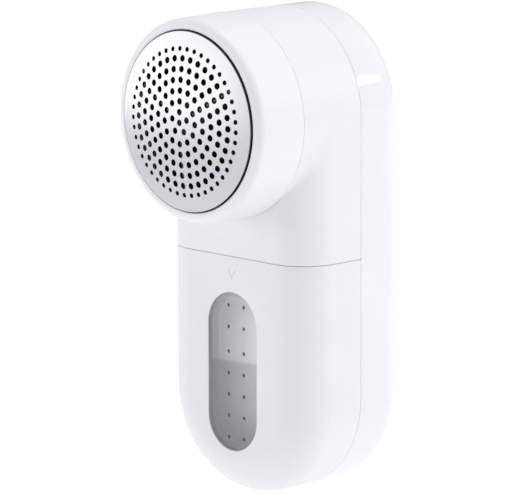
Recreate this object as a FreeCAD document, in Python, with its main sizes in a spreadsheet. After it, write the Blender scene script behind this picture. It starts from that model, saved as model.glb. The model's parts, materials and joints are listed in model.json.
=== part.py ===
import FreeCAD, Part
import math
import os

import Sketcher
from FreeCAD import Placement, Rotation, Vector

# A hand-held fabric shaver. +Z is up the handle, the cutting head faces -Y, and X runs across.
# The origin is under the middle of the whole object's box, at the height of the rounded foot.
# Each piece is drawn with y = 0 on the body's front face, then moved back by its Placement.
# Pieces of the cutting head are drawn about the Y axis and lifted to the head's centre.

SIZES = {
    # body
    "body_radius": 30.0,
    "body_depth": 41.68,
    "foot_centre": 30.0,
    "head_centre": 113.42,
    "front_edge": 11.8,
    "back_edge": 7.75,
    "seam_depth": 23.28,
    "seam_gap": 0.12,
    "split_height": 71.6,
    "split_gap": 0.12,
    "wall": 2.0,
    # foil and its ring
    "ring_depth": 17.45,
    "ring_rear_radius": 30.12,
    "ring_front_radius": 29.75,
    "ring_fillet": 2.35,
    "ring_bore": 27.55,
    "ring_mouth": 26.6,
    "ring_lip": 1.0,
    "ring_back_gap": 0.2,
    "foil_sheet": 0.3,
    "foil_skirt_radius": 26.4,
    "foil_rim_height": 0.55,
    "foil_crown_height": 3.41,
    "foil_crown_radius": 122.0,
    "foil_flange_radius": 27.2,
    "foil_flange_front": 16.3,
    "foil_hole_radius": 0.95,
    "foil_edge_hole_radius": 0.7,
    "frame_bore": 25.4,
    "frame_length": 1.4,
    "frame_gap": 0.02,
    # bayonet between the ring and the neck
    "neck_radius": 27.2,
    "neck_bore": 24.9,
    "neck_length": 9.0,
    "groove_radius": 25.95,
    "groove_front": 5.4,
    "groove_rear": 2.6,
    "lug_radius": 26.25,
    "lug_root": 0.5,
    "lug_front": 5.0,
    "lug_rear": 3.0,
    "lug_angle": 16.0,
    "lug_room": 3.0,
    "twist_angle": 25.0,
    # blade chamber and lint duct
    "floor_front": 0.2,
    "floor_rear": 2.0,
    "flange_radius": 27.8,
    "flange_rear": 3.6,
    "flange_gap": 0.05,
    "flange_land": 1.5,
    "web_lap": 1.0,
    "mouth_radius": 27.35,
    "motor_seat_radius": 12.4,
    "motor_front": 4.2,
    "duct_half_width": 11.0,
    "duct_wall": 1.6,
    "duct_front": 3.5,
    "duct_rear": 10.8,
    "duct_foot": 72.35,
    "duct_hole_low": 24.4,
    "duct_hole_high": 13.6,
    "duct_roof": 1.0,
    # blade head
    "hub_bore": 3.25,
    "hub_radius": 5.6,
    "hub_front": 16.5,
    "hub_rear": 4.5,
    "hub_cap": 1.5,
    "arm_length": 22.6,
    "arm_width": 4.4,
    "arm_front": 15.6,
    "arm_rear": 13.2,
    "arm_root": 1.0,
    "blade_inner": 4.8,
    "blade_outer": 24.0,
    "blade_sheet": 0.5,
    "blade_back": 14.4,
    "blade_gap": 0.2,
    "spring_radius": 2.2,
    "spring_wire": 0.25,
    "spring_turns": 4.0,
    "spring_gap": 0.1,
    "coupler_radius": 3.0,
    "coupler_front": 9.5,
    "coupler_rear": 0.6,
    # motor
    "motor_radius": 12.2,
    "motor_can_rear": 31.8,
    "motor_cap_rear": 34.8,
    "spigot_length": 1.0,
    "spigot_lap": 0.5,
    "motor_sheet": 0.8,
    "motor_boss": 3.05,
    "motor_boss_hole": 3.3,
    "motor_boss_front": 2.4,
    "shaft_radius": 1.0,
    "shaft_clearance": 0.03,
    "shaft_front": 11.5,
    "shaft_rear": 35.6,
    "bush_wall": 1.0,
    "armature_radius": 8.6,
    "armature_front": 9.0,
    "armature_rear": 26.0,
    "commutator_radius": 3.2,
    "commutator_rear": 31.0,
    "commutator_lap": 1.0,
    "winding_slot_half": 1.0,
    "magnet_inner": 9.1,
    "magnet_front": 7.5,
    "magnet_rear": 27.5,
    "magnet_angle": 140.0,
    "motor_screw_spread": 8.5,
    "motor_screw_radius": 1.25,
    "motor_screw_head": 2.2,
    "motor_screw_end": 5.6,
    "terminal_spread": 5.5,
    "terminal_rear": 37.6,
    "terminal_half": 1.0,
    "terminal_drop": 1.5,
    "terminal_sheet": 0.4,
    "damper_front": 22.0,
    "damper_rear": 28.0,
    "damper_radius": 14.0,
    "rib_inner": 7.5,
    "rib_reach": 0.6,
    # lint bin, window and filter panel
    "window_half_width": 10.1,
    "window_low": 23.6,
    "window_high": 50.8,
    "window_gap": 0.08,
    "window_step": 1.4,
    "window_recess": 0.25,
    "window_rear": 3.2,
    "step_lap": 0.1,
    "lens_lip": 1.2,
    "filter_front": 11.0,
    "filter_rear": 12.2,
    "filter_inset": 2.08,
    "filter_gap": 0.2,
    "filter_roof_gap": 0.05,
    "vent_radius": 0.5,
    "vent_pitch": 6.5,
    "vent_gap_pitch": 7.5,
    "vent_low": 13.9,
    "bin_roof": 1.6,
    "gasket_height": 0.82,
    "gasket_gap": 0.05,
    "gasket_inset": 0.4,
    "mark_width": 3.7,
    "mark_height": 2.9,
    "mark_centre": 66.3,
    "mark_depth": 0.3,
    # inner frame
    "frame_inset": 2.5,
    "slide_gap": 0.3,
    "frame_wall": 1.6,
    "frame_front": 12.7,
    "frame_back": 23.1,
    "frame_top": 99.2,
    "screw_spread": 20.0,
    "screw_low": 40.0,
    "screw_high": 90.0,
    "screw_radius": 1.2,
    "screw_head_radius": 2.4,
    "screw_head_front": 14.2,
    "screw_head_height": 1.6,
    "screw_end": 36.0,
    "screw_lap": 0.4,
    "screw_slot_half": 0.3,
    "screw_slot_depth": 0.6,
    "screw_hole_room": 0.15,
    "screw_head_room": 0.2,
    "boss_radius": 3.2,
    "boss_front": 23.4,
    "upper_screw_x": 17.0,
    "upper_screw_rise": 13.5,
    "upper_boss_front": 3.75,
    # battery and boards
    "cell_radius": 9.2,
    "cell_length": 65.0,
    "cell_foot": 12.5,
    "cell_depth": 29.6,
    "tab_sheet": 0.25,
    "tab_half_width": 3.0,
    "tab_half_length": 4.0,
    "foam_half_width": 5.0,
    "foam_length": 12.0,
    "foam_inset": 6.0,
    "board_half_width": 16.0,
    "board_front": 33.0,
    "board_rear": 34.6,
    "board_foot": 79.5,
    "board_top": 98.6,
    "switch_size": 6.0,
    "switch_rear": 36.4,
    "plunger_radius": 1.7,
    "plunger_rear": 37.5,
    "plunger_gap": 0.1,
    "switch_floor": 0.2,
    "button_height": 91.0,
    "button_radius": 6.3,
    "button_gap": 0.25,
    "button_flange": 7.6,
    "button_flange_front": 38.3,
    "button_flange_rear": 39.45,
    "button_stem": 2.0,
    "button_touch": 0.05,
    "button_dish": 0.4,
    "button_rear": 41.5,
    "led_height": 81.0,
    "led_half_width": 1.0,
    "led_thickness": 0.8,
    "pipe_gap": 0.2,
    "pipe_radius": 1.1,
    "socket_depth": 29.5,
    "socket_half_width": 4.47,
    "socket_half_height": 1.63,
    "socket_sheet": 0.3,
    "socket_foot": 0.6,
    "socket_top": 7.95,
    "tongue_half_width": 3.3,
    "tongue_half_depth": 0.35,
    "tongue_recess": 1.0,
    "charge_board_front": 31.2,
    "charge_board_rear": 32.2,
    "charge_board_half": 7.0,
    "charge_board_foot": 3.5,
    "charge_board_top": 11.4,
    "wire_radius": 0.5,
}
# Holes in the foil, ring by ring from the middle: distance from the centre, and how many.
FOIL_RINGS = ((3.09, 5), (6.22, 12), (9.33, 18), (12.43, 24), (15.50, 30), (18.54, 36), (21.30, 45))
BLADE_COUNT = 3
LUG_CENTRES = (30.0, 150.0, 270.0)
# How many vent holes stand each side of the middle, and how many rows are under and over the wide gap.
VENT_SIDE_COLUMNS = 2
VENT_ROWS_BELOW = 5
VENT_ROWS_ABOVE = 2

doc = FreeCAD.newDocument("FabricShaver")
sheet = doc.addObject("Spreadsheet::Sheet", "Sizes")
for row, (alias, value) in enumerate(SIZES.items(), 1):
    sheet.set(f"A{row}", alias.replace("_", " "))
    sheet.set(f"B{row}", str(value))
    sheet.setAlias(f"B{row}", alias)
doc.recompute()

ALIASES = sorted(SIZES, key=len, reverse=True)
nodes = []


def bound(text):
    """An expression with every alias written as a cell of the sheet."""
    words = []
    word = ""
    for letter in f"{text} ":
        if letter.isalnum() or letter in "_.":
            word += letter
            continue
        words.append(f"Sizes.{word}" if word in SIZES else word)
        words.append(letter)
        word = ""
    return "".join(words).strip()


def number(text):
    """The value of an expression of aliases."""
    return float(sheet.evalExpression(bound(text)))


def bind(item, **properties):
    """Tie properties to the sheet; two underscores stand for a dot in a property's path."""
    for path, text in properties.items():
        item.setExpression(path.replace("__", "."), bound(text))
    return item


def node(item, label, height="0"):
    """Name a finished sub-part and put it in the object's frame."""
    if item.TypeId in ("Part::Box", "Part::Cylinder", "Part::Feature"):
        item = group(f"{label}_piece", item)
    doc.recompute()
    item.Label = label
    bind(item, Placement__Base__y="-(body_depth - ring_depth - foil_crown_height) / 2")
    if height != "0":
        bind(item, Placement__Base__z=height)
    nodes.append(item)
    return item


# ---------------------------------------------------------------- building blocks


def box(name, low, high):
    """A box between two corners, each given as three expressions."""
    item = doc.addObject("Part::Box", name)
    bind(item, Length=f"({high[0]}) - ({low[0]})", Width=f"({high[1]}) - ({low[1]})")
    bind(item, Height=f"({high[2]}) - ({low[2]})")
    bind(item, Placement__Base__x=low[0], Placement__Base__y=low[1], Placement__Base__z=low[2])
    return item


def rod(name, along, centre, start, end, radius):
    """A cylinder along Y or Z, with the two other coordinates of its axis in centre."""
    item = doc.addObject("Part::Cylinder", name)
    bind(item, Radius=radius, Height=f"({end}) - ({start})")
    if along == "Y":
        item.Placement = Placement(Vector(), Rotation(Vector(1, 0, 0), -90))
        places = (centre[0], start, centre[1])
    else:
        places = (centre[0], centre[1], start)
    bind(item, Placement__Base__x=places[0], Placement__Base__y=places[1], Placement__Base__z=places[2])
    return item


def sector(name, start, end, radius, angle, middle):
    """A slice of a cylinder about the Y axis, its middle at an angle turned about +Y from +X."""
    item = doc.addObject("Part::Cylinder", name)
    bind(item, Radius=radius, Height=f"({end}) - ({start})", Angle=angle)
    turn = Rotation(Vector(0, 1, 0), middle - number(angle) / 2)
    item.Placement = Placement(Vector(), turn * Rotation(Vector(1, 0, 0), -90))
    bind(item, Placement__Base__y=start)
    return item


def fuse(name, *items):
    if len(items) == 1:
        return items[0]
    item = doc.addObject("Part::MultiFuse", name)
    item.Shapes = list(items)
    return item


def cut(name, base, *tools):
    item = doc.addObject("Part::Cut", name)
    item.Base = base
    item.Tool = fuse(f"{name}_tools", *tools)
    return item


def common(name, base, tool):
    item = doc.addObject("Part::MultiCommon", name)
    item.Shapes = [base, tool]
    return item


def group(name, *items):
    """Separate solids of one node, kept separate."""
    item = doc.addObject("Part::Compound", name)
    item.Links = list(items)
    return item


def sketch_on(body, role, name, offset="0"):
    """A sketch on one of the body's own origin planes, moved along its normal."""
    sketch = body.newObject("Sketcher::SketchObject", name)
    plane = next(item for item in body.Origin.OriginFeatures if item.Role == role)
    sketch.AttachmentSupport = [(plane, "")]
    sketch.MapMode = "FlatFace"
    if offset != "0":
        bind(sketch, AttachmentOffset__Base__z=offset)
    return sketch


def fix_point(sketch, piece, end, across, up):
    """Tie one point of a sketch to two expressions of the sheet."""
    for kind, text in (("DistanceX", across), ("DistanceY", up)):
        index = sketch.addConstraint(Sketcher.Constraint(kind, -1, 1, piece, end, number(text)))
        sketch.setExpression(f"Constraints[{index}]", bound(text))


def fix_radius(sketch, piece, text):
    index = sketch.addConstraint(Sketcher.Constraint("Radius", piece, number(text)))
    sketch.setExpression(f"Constraints[{index}]", bound(text))


def arc_between(start, end, radius):
    """The shorter arc between two points; a positive radius has its centre on the left of the way."""
    chord = end - start
    half = chord.Length / 2
    left = Vector(-chord.y, chord.x, 0).normalize()
    rise = math.sqrt(radius * radius - half * half) * math.copysign(1, radius)
    centre = (start + end) * 0.5 + left * rise
    ends = (start, end) if radius > 0 else (end, start)
    angles = [math.atan2(point.y - centre.y, point.x - centre.x) for point in ends]
    return Part.ArcOfCircle(Part.Circle(centre, Vector(0, 0, 1), abs(radius)), *angles)


def outline(sketch, corners, arcs=None):
    """A closed outline through corners; arcs gives the radius of a side that is round."""
    arcs = arcs or {}
    points = [Vector(number(across), number(up), 0) for across, up in corners]
    ends = []
    for side, start in enumerate(points):
        end = points[(side + 1) % len(points)]
        if side in arcs:
            radius = number(arcs[side])
            sketch.addGeometry(arc_between(start, end, radius))
            ends.append((1, 2) if radius > 0 else (2, 1))
        else:
            sketch.addGeometry(Part.LineSegment(start, end))
            ends.append((1, 2))
    for side in range(len(points)):
        after = (side + 1) % len(points)
        sketch.addConstraint(Sketcher.Constraint("Coincident", side, ends[side][1], after, ends[after][0]))
    for side, (across, up) in enumerate(corners):
        fix_point(sketch, side, ends[side][0], across, up)
    for side, text in arcs.items():
        fix_radius(sketch, side, text.lstrip("-"))


def stadium(sketch, radius, low, high):
    """Two half circles joined by straight sides, upright on the middle line."""
    reach, foot, top = number(radius), number(low), number(high)
    axis = Vector(0, 0, 1)
    sketch.addGeometry(Part.ArcOfCircle(Part.Circle(Vector(0, foot, 0), axis, reach), -math.pi, 0))
    sketch.addGeometry(Part.LineSegment(Vector(reach, foot, 0), Vector(reach, top, 0)))
    sketch.addGeometry(Part.ArcOfCircle(Part.Circle(Vector(0, top, 0), axis, reach), 0, math.pi))
    sketch.addGeometry(Part.LineSegment(Vector(-reach, top, 0), Vector(-reach, foot, 0)))
    for side, after in ((0, 1), (1, 2), (2, 3), (3, 0)):
        sketch.addConstraint(Sketcher.Constraint("Tangent", side, 2, after, 1))
    sketch.addConstraint(Sketcher.Constraint("Equal", 0, 2))
    fix_point(sketch, 0, 3, "0", low)
    fix_point(sketch, 2, 3, "0", high)
    fix_radius(sketch, 0, radius)


def turned(name, corners, arcs=None, angle="360"):
    """A solid of revolution about the Y axis, from an outline in depth and radius."""
    body = doc.addObject("PartDesign::Body", name)
    sketch = sketch_on(body, "YZ_Plane", f"{name}_profile")
    outline(sketch, corners, arcs)
    doc.recompute()
    turn = body.newObject("PartDesign::Revolution", f"{name}_turn")
    turn.Profile = sketch
    turn.ReferenceAxis = (sketch, ["H_Axis"])
    bind(turn, Angle=angle)
    return body


def tube(name, start, end, inner, outer):
    return turned(name, ((start, inner), (end, inner), (end, outer), (start, outer)))


def edges_at(feature, depth):
    """The edges of a feature that lie wholly at one depth."""
    found = []
    for index, edge in enumerate(feature.Shape.Edges, 1):
        bounds = edge.BoundBox
        if abs(bounds.YMin - depth) < 0.01 and abs(bounds.YMax - depth) < 0.01:
            found.append(f"Edge{index}")
    return found


def stadium_slab(name, radius, low, high, front, rear, rounded=None, fillet="0"):
    """A stadium-shaped block from front to rear, one of its two rims rounded."""
    body = doc.addObject("PartDesign::Body", name)
    sketch = sketch_on(body, "XZ_Plane", f"{name}_outline", f"-({front})")
    stadium(sketch, radius, low, high)
    doc.recompute()
    pad = body.newObject("PartDesign::Pad", f"{name}_pad")
    pad.Profile = sketch
    pad.Reversed = True
    bind(pad, Length=f"({rear}) - ({front})")
    doc.recompute()
    if rounded is not None:
        rim = body.newObject("PartDesign::Fillet", f"{name}_rim")
        rim.Base = (pad, edges_at(pad, number(rounded)))
        bind(rim, Radius=fillet)
        doc.recompute()
    return body


def profile_pad(name, role, corners, start, end, reverse=False):
    """A straight-sided outline on an origin plane, padded along its normal."""
    body = doc.addObject("PartDesign::Body", name)
    sketch = sketch_on(body, role, f"{name}_outline", f"-({start})" if reverse else start)
    outline(sketch, corners)
    doc.recompute()
    pad = body.newObject("PartDesign::Pad", f"{name}_pad")
    pad.Profile = sketch
    pad.Reversed = reverse
    bind(pad, Length=f"({end}) - ({start})")
    return body


def front_block(name, inset, rear):
    """The body's outer form ahead of the seam, taken in by a wall."""
    radius = f"body_radius - {inset}"
    rounding = f"front_edge - {inset}"
    return stadium_slab(name, radius, "foot_centre", "head_centre", inset, rear, inset, rounding)


def half_space(name, low, high):
    """A block as wide and deep as the whole body, between two heights."""
    return box(name, ("-2 * body_radius", "-body_depth", low), ("2 * body_radius", "2 * body_depth", high))


HEAD = ("0", "head_centre")
AXIS = ("0", "0")


def upper_housing():
    head = rod("head_drum", "Y", HEAD, "0", "seam_depth", "body_radius")
    outer = fuse("upper_outer", front_block("upper_block", "0", "seam_depth - seam_gap"), head)
    above = half_space("above_split", "split_height + split_gap", "3 * head_centre")
    top = common("upper_top", outer, above)
    inner_head = rod("head_room", "Y", HEAD, "wall", "2 * body_depth", "body_radius - wall")
    inner = front_block("upper_room", "wall", "2 * body_depth")
    mouth = rod("head_mouth", "Y", HEAD, "-body_depth", "body_depth", "mouth_radius")
    trim = box(
        "seam_trim",
        ("-2 * body_radius", "seam_depth - seam_gap", "0"),
        ("2 * body_radius", "2 * body_depth", "3 * head_centre"),
    )
    node(cut("upper_shell", top, inner_head, inner, mouth, trim), "upper_housing")


def back_cover():
    outer = stadium_slab(
        "cover_block", "body_radius", "foot_centre", "head_centre", "seam_depth", "body_depth", "body_depth",
        "back_edge",
    )
    room = stadium_slab(
        "cover_room", "body_radius - wall", "foot_centre", "head_centre", "seam_depth - wall",
        "body_depth - wall", "body_depth - wall", "back_edge - wall",
    )
    shell = cut("cover_shell", outer, room)
    bosses = [
        rod(f"cover_boss_{index}", "Y", place, "boss_front", "body_depth - wall / 2", "boss_radius")
        for index, place in enumerate(lower_screw_places())
    ]
    rear = "body_depth - wall / 2"
    bosses += [
        rod(f"cover_long_boss_{index}", "Y", place, "upper_boss_front", rear, "boss_radius")
        for index, place in enumerate(upper_screw_places())
    ]
    ribs = [
        box(
            f"motor_rib_{index}",
            (low, "boss_front", "head_centre - damper_radius - rib_reach"),
            (high, "body_depth - wall / 2", "head_centre - motor_radius / 2"),
        )
        for index, (low, high) in enumerate((("-motor_radius", "-rib_inner"), ("rib_inner", "motor_radius")))
    ]
    solid = fuse("cover_solid", shell, *bosses, *ribs)
    holes = [
        rod(f"cover_pilot_{index}", "Y", place, "-body_depth", "screw_end", "screw_radius")
        for index, place in enumerate(lower_screw_places() + upper_screw_places())
    ]
    damper_room = "damper_radius + shaft_clearance"
    holes.append(rod("damper_room", "Y", HEAD, "-body_depth", "damper_rear", damper_room))
    holes.append(rod("cap_room", "Y", HEAD, "0", "body_depth - wall", "motor_radius + wall / 2"))
    holes.append(
        rod("button_hole", "Y", ("0", "button_height"), "0", "2 * body_depth", "button_radius + button_gap")
    )
    holes.append(
        rod("pipe_hole", "Y", ("0", "led_height"), "0", "2 * body_depth", "pipe_radius + button_touch")
    )
    holes.append(socket_block("socket_hole", "-wall", "3 * wall", "socket_sheet"))
    node(cut("cover", solid, *holes), "back_cover")


def socket_block(name, start, end, grow):
    """The charging socket's round-ended section, along Z."""
    side = f"socket_half_height + ({grow})"
    reach = "socket_half_width - socket_half_height"
    ends = [
        rod(f"{name}_end_{index}", "Z", (f"{sign}({reach})", "socket_depth"), start, end, side)
        for index, sign in enumerate(("-", ""))
    ]
    middle = box(
        f"{name}_middle",
        (f"-({reach})", f"socket_depth - ({side})", start),
        (reach, f"socket_depth + ({side})", end),
    )
    return fuse(name, *ends, middle)


def lower_screw_places():
    return [
        (f"{sign}screw_spread", height) for height in ("screw_low", "screw_high") for sign in ("-", "")
    ]


def upper_screw_places():
    return [(f"{sign}upper_screw_x", "head_centre + upper_screw_rise") for sign in ("-", "")]


def screw_set(label, places, head_front, shank_end, head_radius, shank_radius, height="0"):
    """Pan-head screws along Y, one solid each."""
    screws = []
    for index, place in enumerate(places):
        head_rear = f"{head_front} + screw_head_height"
        head = rod(f"{label}_head_{index}", "Y", place, head_front, head_rear, head_radius)
        shank_front = f"{head_rear} - screw_lap"
        shank = rod(f"{label}_shank_{index}", "Y", place, shank_front, shank_end, shank_radius)
        slot = box(
            f"{label}_slot_{index}",
            (f"({place[0]}) - screw_slot_half", f"{head_front} - 1", f"({place[1]}) - {head_radius}"),
            (
                f"({place[0]}) + screw_slot_half", f"{head_front} + screw_slot_depth",
                f"({place[1]}) + {head_radius}",
            ),
        )
        screws.append(cut(f"{label}_{index}", fuse(f"{label}_blank_{index}", head, shank), slot))
    node(group(f"{label}_group", *screws), label, height)


def blade_chamber():
    """The tub the blades turn in, the bayonet neck around it and the duct down to the bin."""
    neck = tube("neck_wall", "-neck_length", "floor_rear", "neck_bore", "neck_radius")
    floor = tube("chamber_floor", "floor_front", "floor_rear", "motor_boss_hole", "neck_radius")
    seat = tube("motor_seat", "floor_front", "motor_front", "motor_boss_hole", "motor_seat_radius")
    flange = tube(
        "chamber_flange", "wall + flange_gap", "flange_rear", "neck_radius - flange_land", "flange_radius"
    )
    low_wall = box(
        "duct_outer",
        ("-duct_half_width - duct_wall", "wall + 2 * flange_gap", "duct_foot - head_centre"),
        ("duct_half_width + duct_wall", "duct_rear + duct_wall", "duct_roof - duct_hole_high"),
    )
    web = tube("flange_web", "floor_front", "flange_rear", "neck_bore - web_lap", "neck_radius")
    solid = fuse("chamber_solid", neck, floor, seat, flange, web, low_wall)
    duct = box(
        "duct_inner",
        ("-duct_half_width", "duct_front", "-head_centre"),
        ("duct_half_width", "duct_rear", "-duct_hole_high"),
    )
    hole = box(
        "duct_hole",
        ("-duct_half_width", "-floor_rear", "-duct_hole_low"),
        ("duct_half_width", "duct_rear", "-duct_hole_high"),
    )
    limit = rod("hole_limit", "Y", AXIS, "-floor_rear", "body_depth", "neck_bore")
    bored = common("duct_hole_round", hole, limit)
    holes = [
        rod(f"seat_hole_{index}", "Y", place, "-1", "3 * wall", "motor_screw_radius")
        for index, place in enumerate(motor_screw_places())
    ]
    holes += [
        rod(f"chamber_hole_{index}", "Y", place, "-1", "3 * wall", "screw_radius")
        for index, place in enumerate(chamber_screw_places())
    ]
    slices = []
    entry = "lug_angle + 2 * lug_room"
    run = f"{entry} + twist_angle"
    reach = "2 * neck_radius"
    for index, middle in enumerate(LUG_CENTRES):
        turned_middle = middle + SIZES["twist_angle"] / 2
        slices.append(sector(f"entry_{index}", "-2 * neck_length", "-groove_rear", reach, entry, middle))
        slices.append(sector(f"lock_{index}", "-groove_front", "-groove_rear", reach, run, turned_middle))
    core = rod("groove_core", "Y", AXIS, "-2 * neck_length", "body_depth", "groove_radius")
    grooves = cut("bayonet_grooves", fuse("groove_slices", *slices), core)
    node(cut("chamber", solid, duct, bored, grooves, *holes), "blade_chamber", "head_centre")


def motor_screw_places():
    return [(f"{sign}motor_screw_spread", "0") for sign in ("-", "")]


def chamber_screw_places():
    return [(f"{sign}upper_screw_x", "upper_screw_rise") for sign in ("-", "")]


def foil_sheet(name, grow):
    """A corner point on the foil's outer skin, moved in by a thickness."""
    return f"-(ring_depth + {name}) + ({grow})"


def foil():
    rim = foil_sheet("foil_rim_height", "0")
    rim_inside = foil_sheet("foil_rim_height", "foil_sheet")
    skirt_inside = "foil_skirt_radius - foil_sheet"
    corners = (
        (foil_sheet("foil_crown_height", "0"), "0"),
        (foil_sheet("foil_crown_height", "foil_sheet"), "0"),
        (rim_inside, skirt_inside),
        ("-foil_flange_front + foil_sheet", skirt_inside),
        ("-foil_flange_front + foil_sheet", "foil_flange_radius"),
        ("-foil_flange_front", "foil_flange_radius"),
        ("-foil_flange_front", "foil_skirt_radius"),
        (rim, "foil_skirt_radius"),
    )
    blank = turned("foil_blank", corners, {1: "-foil_crown_radius", 7: "foil_crown_radius"})
    pins = [rod("foil_hole_middle", "Y", AXIS, "-body_depth", "0", "foil_hole_radius")]
    for distance, count in FOIL_RINGS:
        edge = distance == FOIL_RINGS[-1][0]
        first = -math.pi / 2 if edge else math.pi / 2
        for index in range(count):
            turn = first + 2 * math.pi * index / count
            place = (f"{distance * math.cos(turn):.5f}", f"{distance * math.sin(turn):.5f}")
            radius = "foil_edge_hole_radius" if edge else "foil_hole_radius"
            pins.append(rod(f"foil_hole_{count}_{index}", "Y", place, "-body_depth", "0", radius))
    doc.recompute()
    punch = doc.addObject("Part::Compound", "foil_holes")
    punch.Links = pins
    node(cut("foil_cut", blank, punch), "foil", "head_centre")


def foil_frame():
    front = "-foil_flange_front + foil_sheet + frame_gap"
    node(
        tube("frame_ring", front, f"{front} + frame_length", "frame_bore", "foil_flange_radius"),
        "foil_frame", "head_centre",
    )


def foil_ring():
    fillet_rear = "-(ring_depth - ring_fillet)"
    corners = (
        ("-ring_back_gap", "ring_bore"),
        ("-ring_back_gap", "ring_rear_radius"),
        (fillet_rear, "ring_front_radius"),
        ("-ring_depth", "ring_front_radius - ring_fillet"),
        ("-ring_depth", "ring_mouth"),
        ("-ring_depth + ring_lip", "ring_mouth"),
        ("-ring_depth + ring_lip", "ring_bore"),
    )
    wall = turned("ring_wall", corners, {2: "ring_fillet"})
    slices = [
        sector(f"lug_{index}", "-lug_front", "-lug_rear", "ring_bore + lug_root", "lug_angle", middle)
        for index, middle in enumerate(LUG_CENTRES)
    ]
    core = rod("lug_core", "Y", AXIS, "-ring_depth", "0", "lug_radius")
    lugs = cut("ring_lugs", fuse("lug_slices", *slices), core)
    node(fuse("ring_with_lugs", wall, lugs), "foil_ring", "head_centre")


def spokes(name, inner, outer, width, front, rear):
    """Radial bars about the Y axis, one for each blade."""
    bars = []
    for index in range(BLADE_COUNT):
        bar = box(f"{name}_{index}", (inner, front, f"-({width}) / 2"), (outer, rear, f"({width}) / 2"))
        turn = Rotation(Vector(0, 1, 0), 90 + 360 / BLADE_COUNT * index)
        holder = doc.addObject("Part::Compound", f"{name}_turned_{index}")
        holder.Links = [bar]
        holder.Placement = Placement(Vector(), turn)
        bars.append(holder)
    return bars


def blade_head():
    sleeve = turned(
        "hub_sleeve",
        (
            ("-hub_front", "0"), ("-hub_front", "hub_radius"), ("-hub_rear", "hub_radius"),
            ("-hub_rear", "hub_bore"), ("-hub_front + hub_cap", "hub_bore"), ("-hub_front + hub_cap", "0"),
        ),
    )
    arms = spokes("hub_arm", "hub_bore + arm_root", "arm_length", "arm_width", "-arm_front", "-arm_rear")
    slots = spokes("hub_slot", "blade_inner", "body_radius", "blade_sheet", "-body_depth", "-blade_back")
    node(cut("hub_cut", fuse("hub_solid", sleeve, *arms), *slots), "blade_hub", "head_centre")
    plates = spokes("blade_plate", "blade_inner", "blade_outer", "blade_sheet", "-body_depth", "-blade_back")
    crown = foil_sheet("foil_crown_height", "foil_sheet + blade_gap")
    limit = doc.addObject("Part::Sphere", "blade_sweep")
    bind(limit, Radius="foil_crown_radius")
    bind(limit, Placement__Base__y=f"{crown} + foil_crown_radius")
    blades = [common(f"blade_{index}", plate, limit) for index, plate in enumerate(plates)]
    node(group("blade_set", *blades), "blades", "head_centre")


def blade_spring():
    """A light coil between the coupler and the hub's cap."""
    start = number("-hub_front + hub_cap")
    length = number("hub_front - hub_cap - coupler_front")
    radius, wire, turns = number("spring_radius"), number("spring_wire"), number("spring_turns")
    gap = number("spring_gap")
    pitch = (length - 2 * wire - 2 * gap) / turns
    helix = Part.Wire(Part.makeLongHelix(pitch, pitch * turns, radius).Edges)
    first = helix.Edges[0]
    along = first.tangentAt(first.FirstParameter)
    section = Part.Wire([Part.makeCircle(wire, first.valueAt(first.FirstParameter), along)])
    coil = helix.makePipeShell([section], True, True)
    spring = doc.addObject("Part::Feature", "spring_coil")
    coil.rotate(Vector(), Vector(1, 0, 0), -90)
    coil.translate(Vector(0, start + wire + gap, 0))
    spring.Shape = coil
    node(spring, "blade_spring", "head_centre")


def drive_parts():
    collar = tube("coupler_collar", "-coupler_front", "-coupler_rear", "shaft_radius", "coupler_radius")
    node(collar, "drive_coupler", "head_centre")
    shaft = rod("shaft_rod", "Y", AXIS, "-shaft_front", "shaft_rear", "shaft_radius")
    node(shaft, "motor_shaft", "head_centre")
    stack = tube("armature_stack", "armature_front", "armature_rear", "shaft_radius", "armature_radius")
    slots = []
    for index in range(BLADE_COUNT):
        slot = box(
            f"winding_slot_{index}", ("commutator_radius", "0", "-winding_slot_half"),
            ("2 * armature_radius", "body_depth", "winding_slot_half"),
        )
        holder = doc.addObject("Part::Compound", f"winding_slot_turned_{index}")
        holder.Links = [slot]
        holder.Placement = Placement(Vector(), Rotation(Vector(0, 1, 0), 360 / BLADE_COUNT * index))
        slots.append(holder)
    laminations = cut("laminations", stack, *slots)
    commutator = tube(
        "commutator", "armature_rear - commutator_lap", "commutator_rear",
        "shaft_radius", "commutator_radius",
    )
    node(fuse("armature", laminations, commutator), "motor_armature", "head_centre")


def motor():
    room = "motor_radius - motor_sheet"
    can = turned(
        "can_wall",
        (
            ("motor_boss_front", "shaft_radius + bush_wall"), ("motor_boss_front", "motor_boss"),
            ("motor_front", "motor_boss"), ("motor_front", "motor_radius"),
            ("motor_can_rear", "motor_radius"), ("motor_can_rear", room),
            ("motor_front + motor_sheet", room), ("motor_front + motor_sheet", "shaft_radius + bush_wall"),
        ),
    )
    holes = [
        rod(f"can_hole_{index}", "Y", place, "0", "2 * motor_front", "motor_screw_radius")
        for index, place in enumerate(motor_screw_places())
    ]
    node(cut("can", can, *holes), "motor_can", "head_centre")
    cap = tube("cap_disc", "motor_can_rear", "motor_cap_rear", "shaft_radius + bush_wall", "motor_radius")
    plug = tube(
        "cap_spigot", "motor_can_rear - spigot_length", "motor_can_rear + spigot_lap",
        f"{room} - spigot_length", room,
    )
    node(fuse("cap", cap, plug), "motor_end_cap", "head_centre")


def bearings():
    front = tube(
        "front_bush", "motor_boss_front", "motor_front + motor_sheet", "shaft_radius + shaft_clearance",
        "shaft_radius + bush_wall",
    )
    rear = tube(
        "rear_bush", "motor_can_rear + spigot_lap", "motor_cap_rear", "shaft_radius + shaft_clearance",
        "shaft_radius + bush_wall",
    )
    node(group("bushes", front, rear), "motor_bearings", "head_centre")


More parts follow.
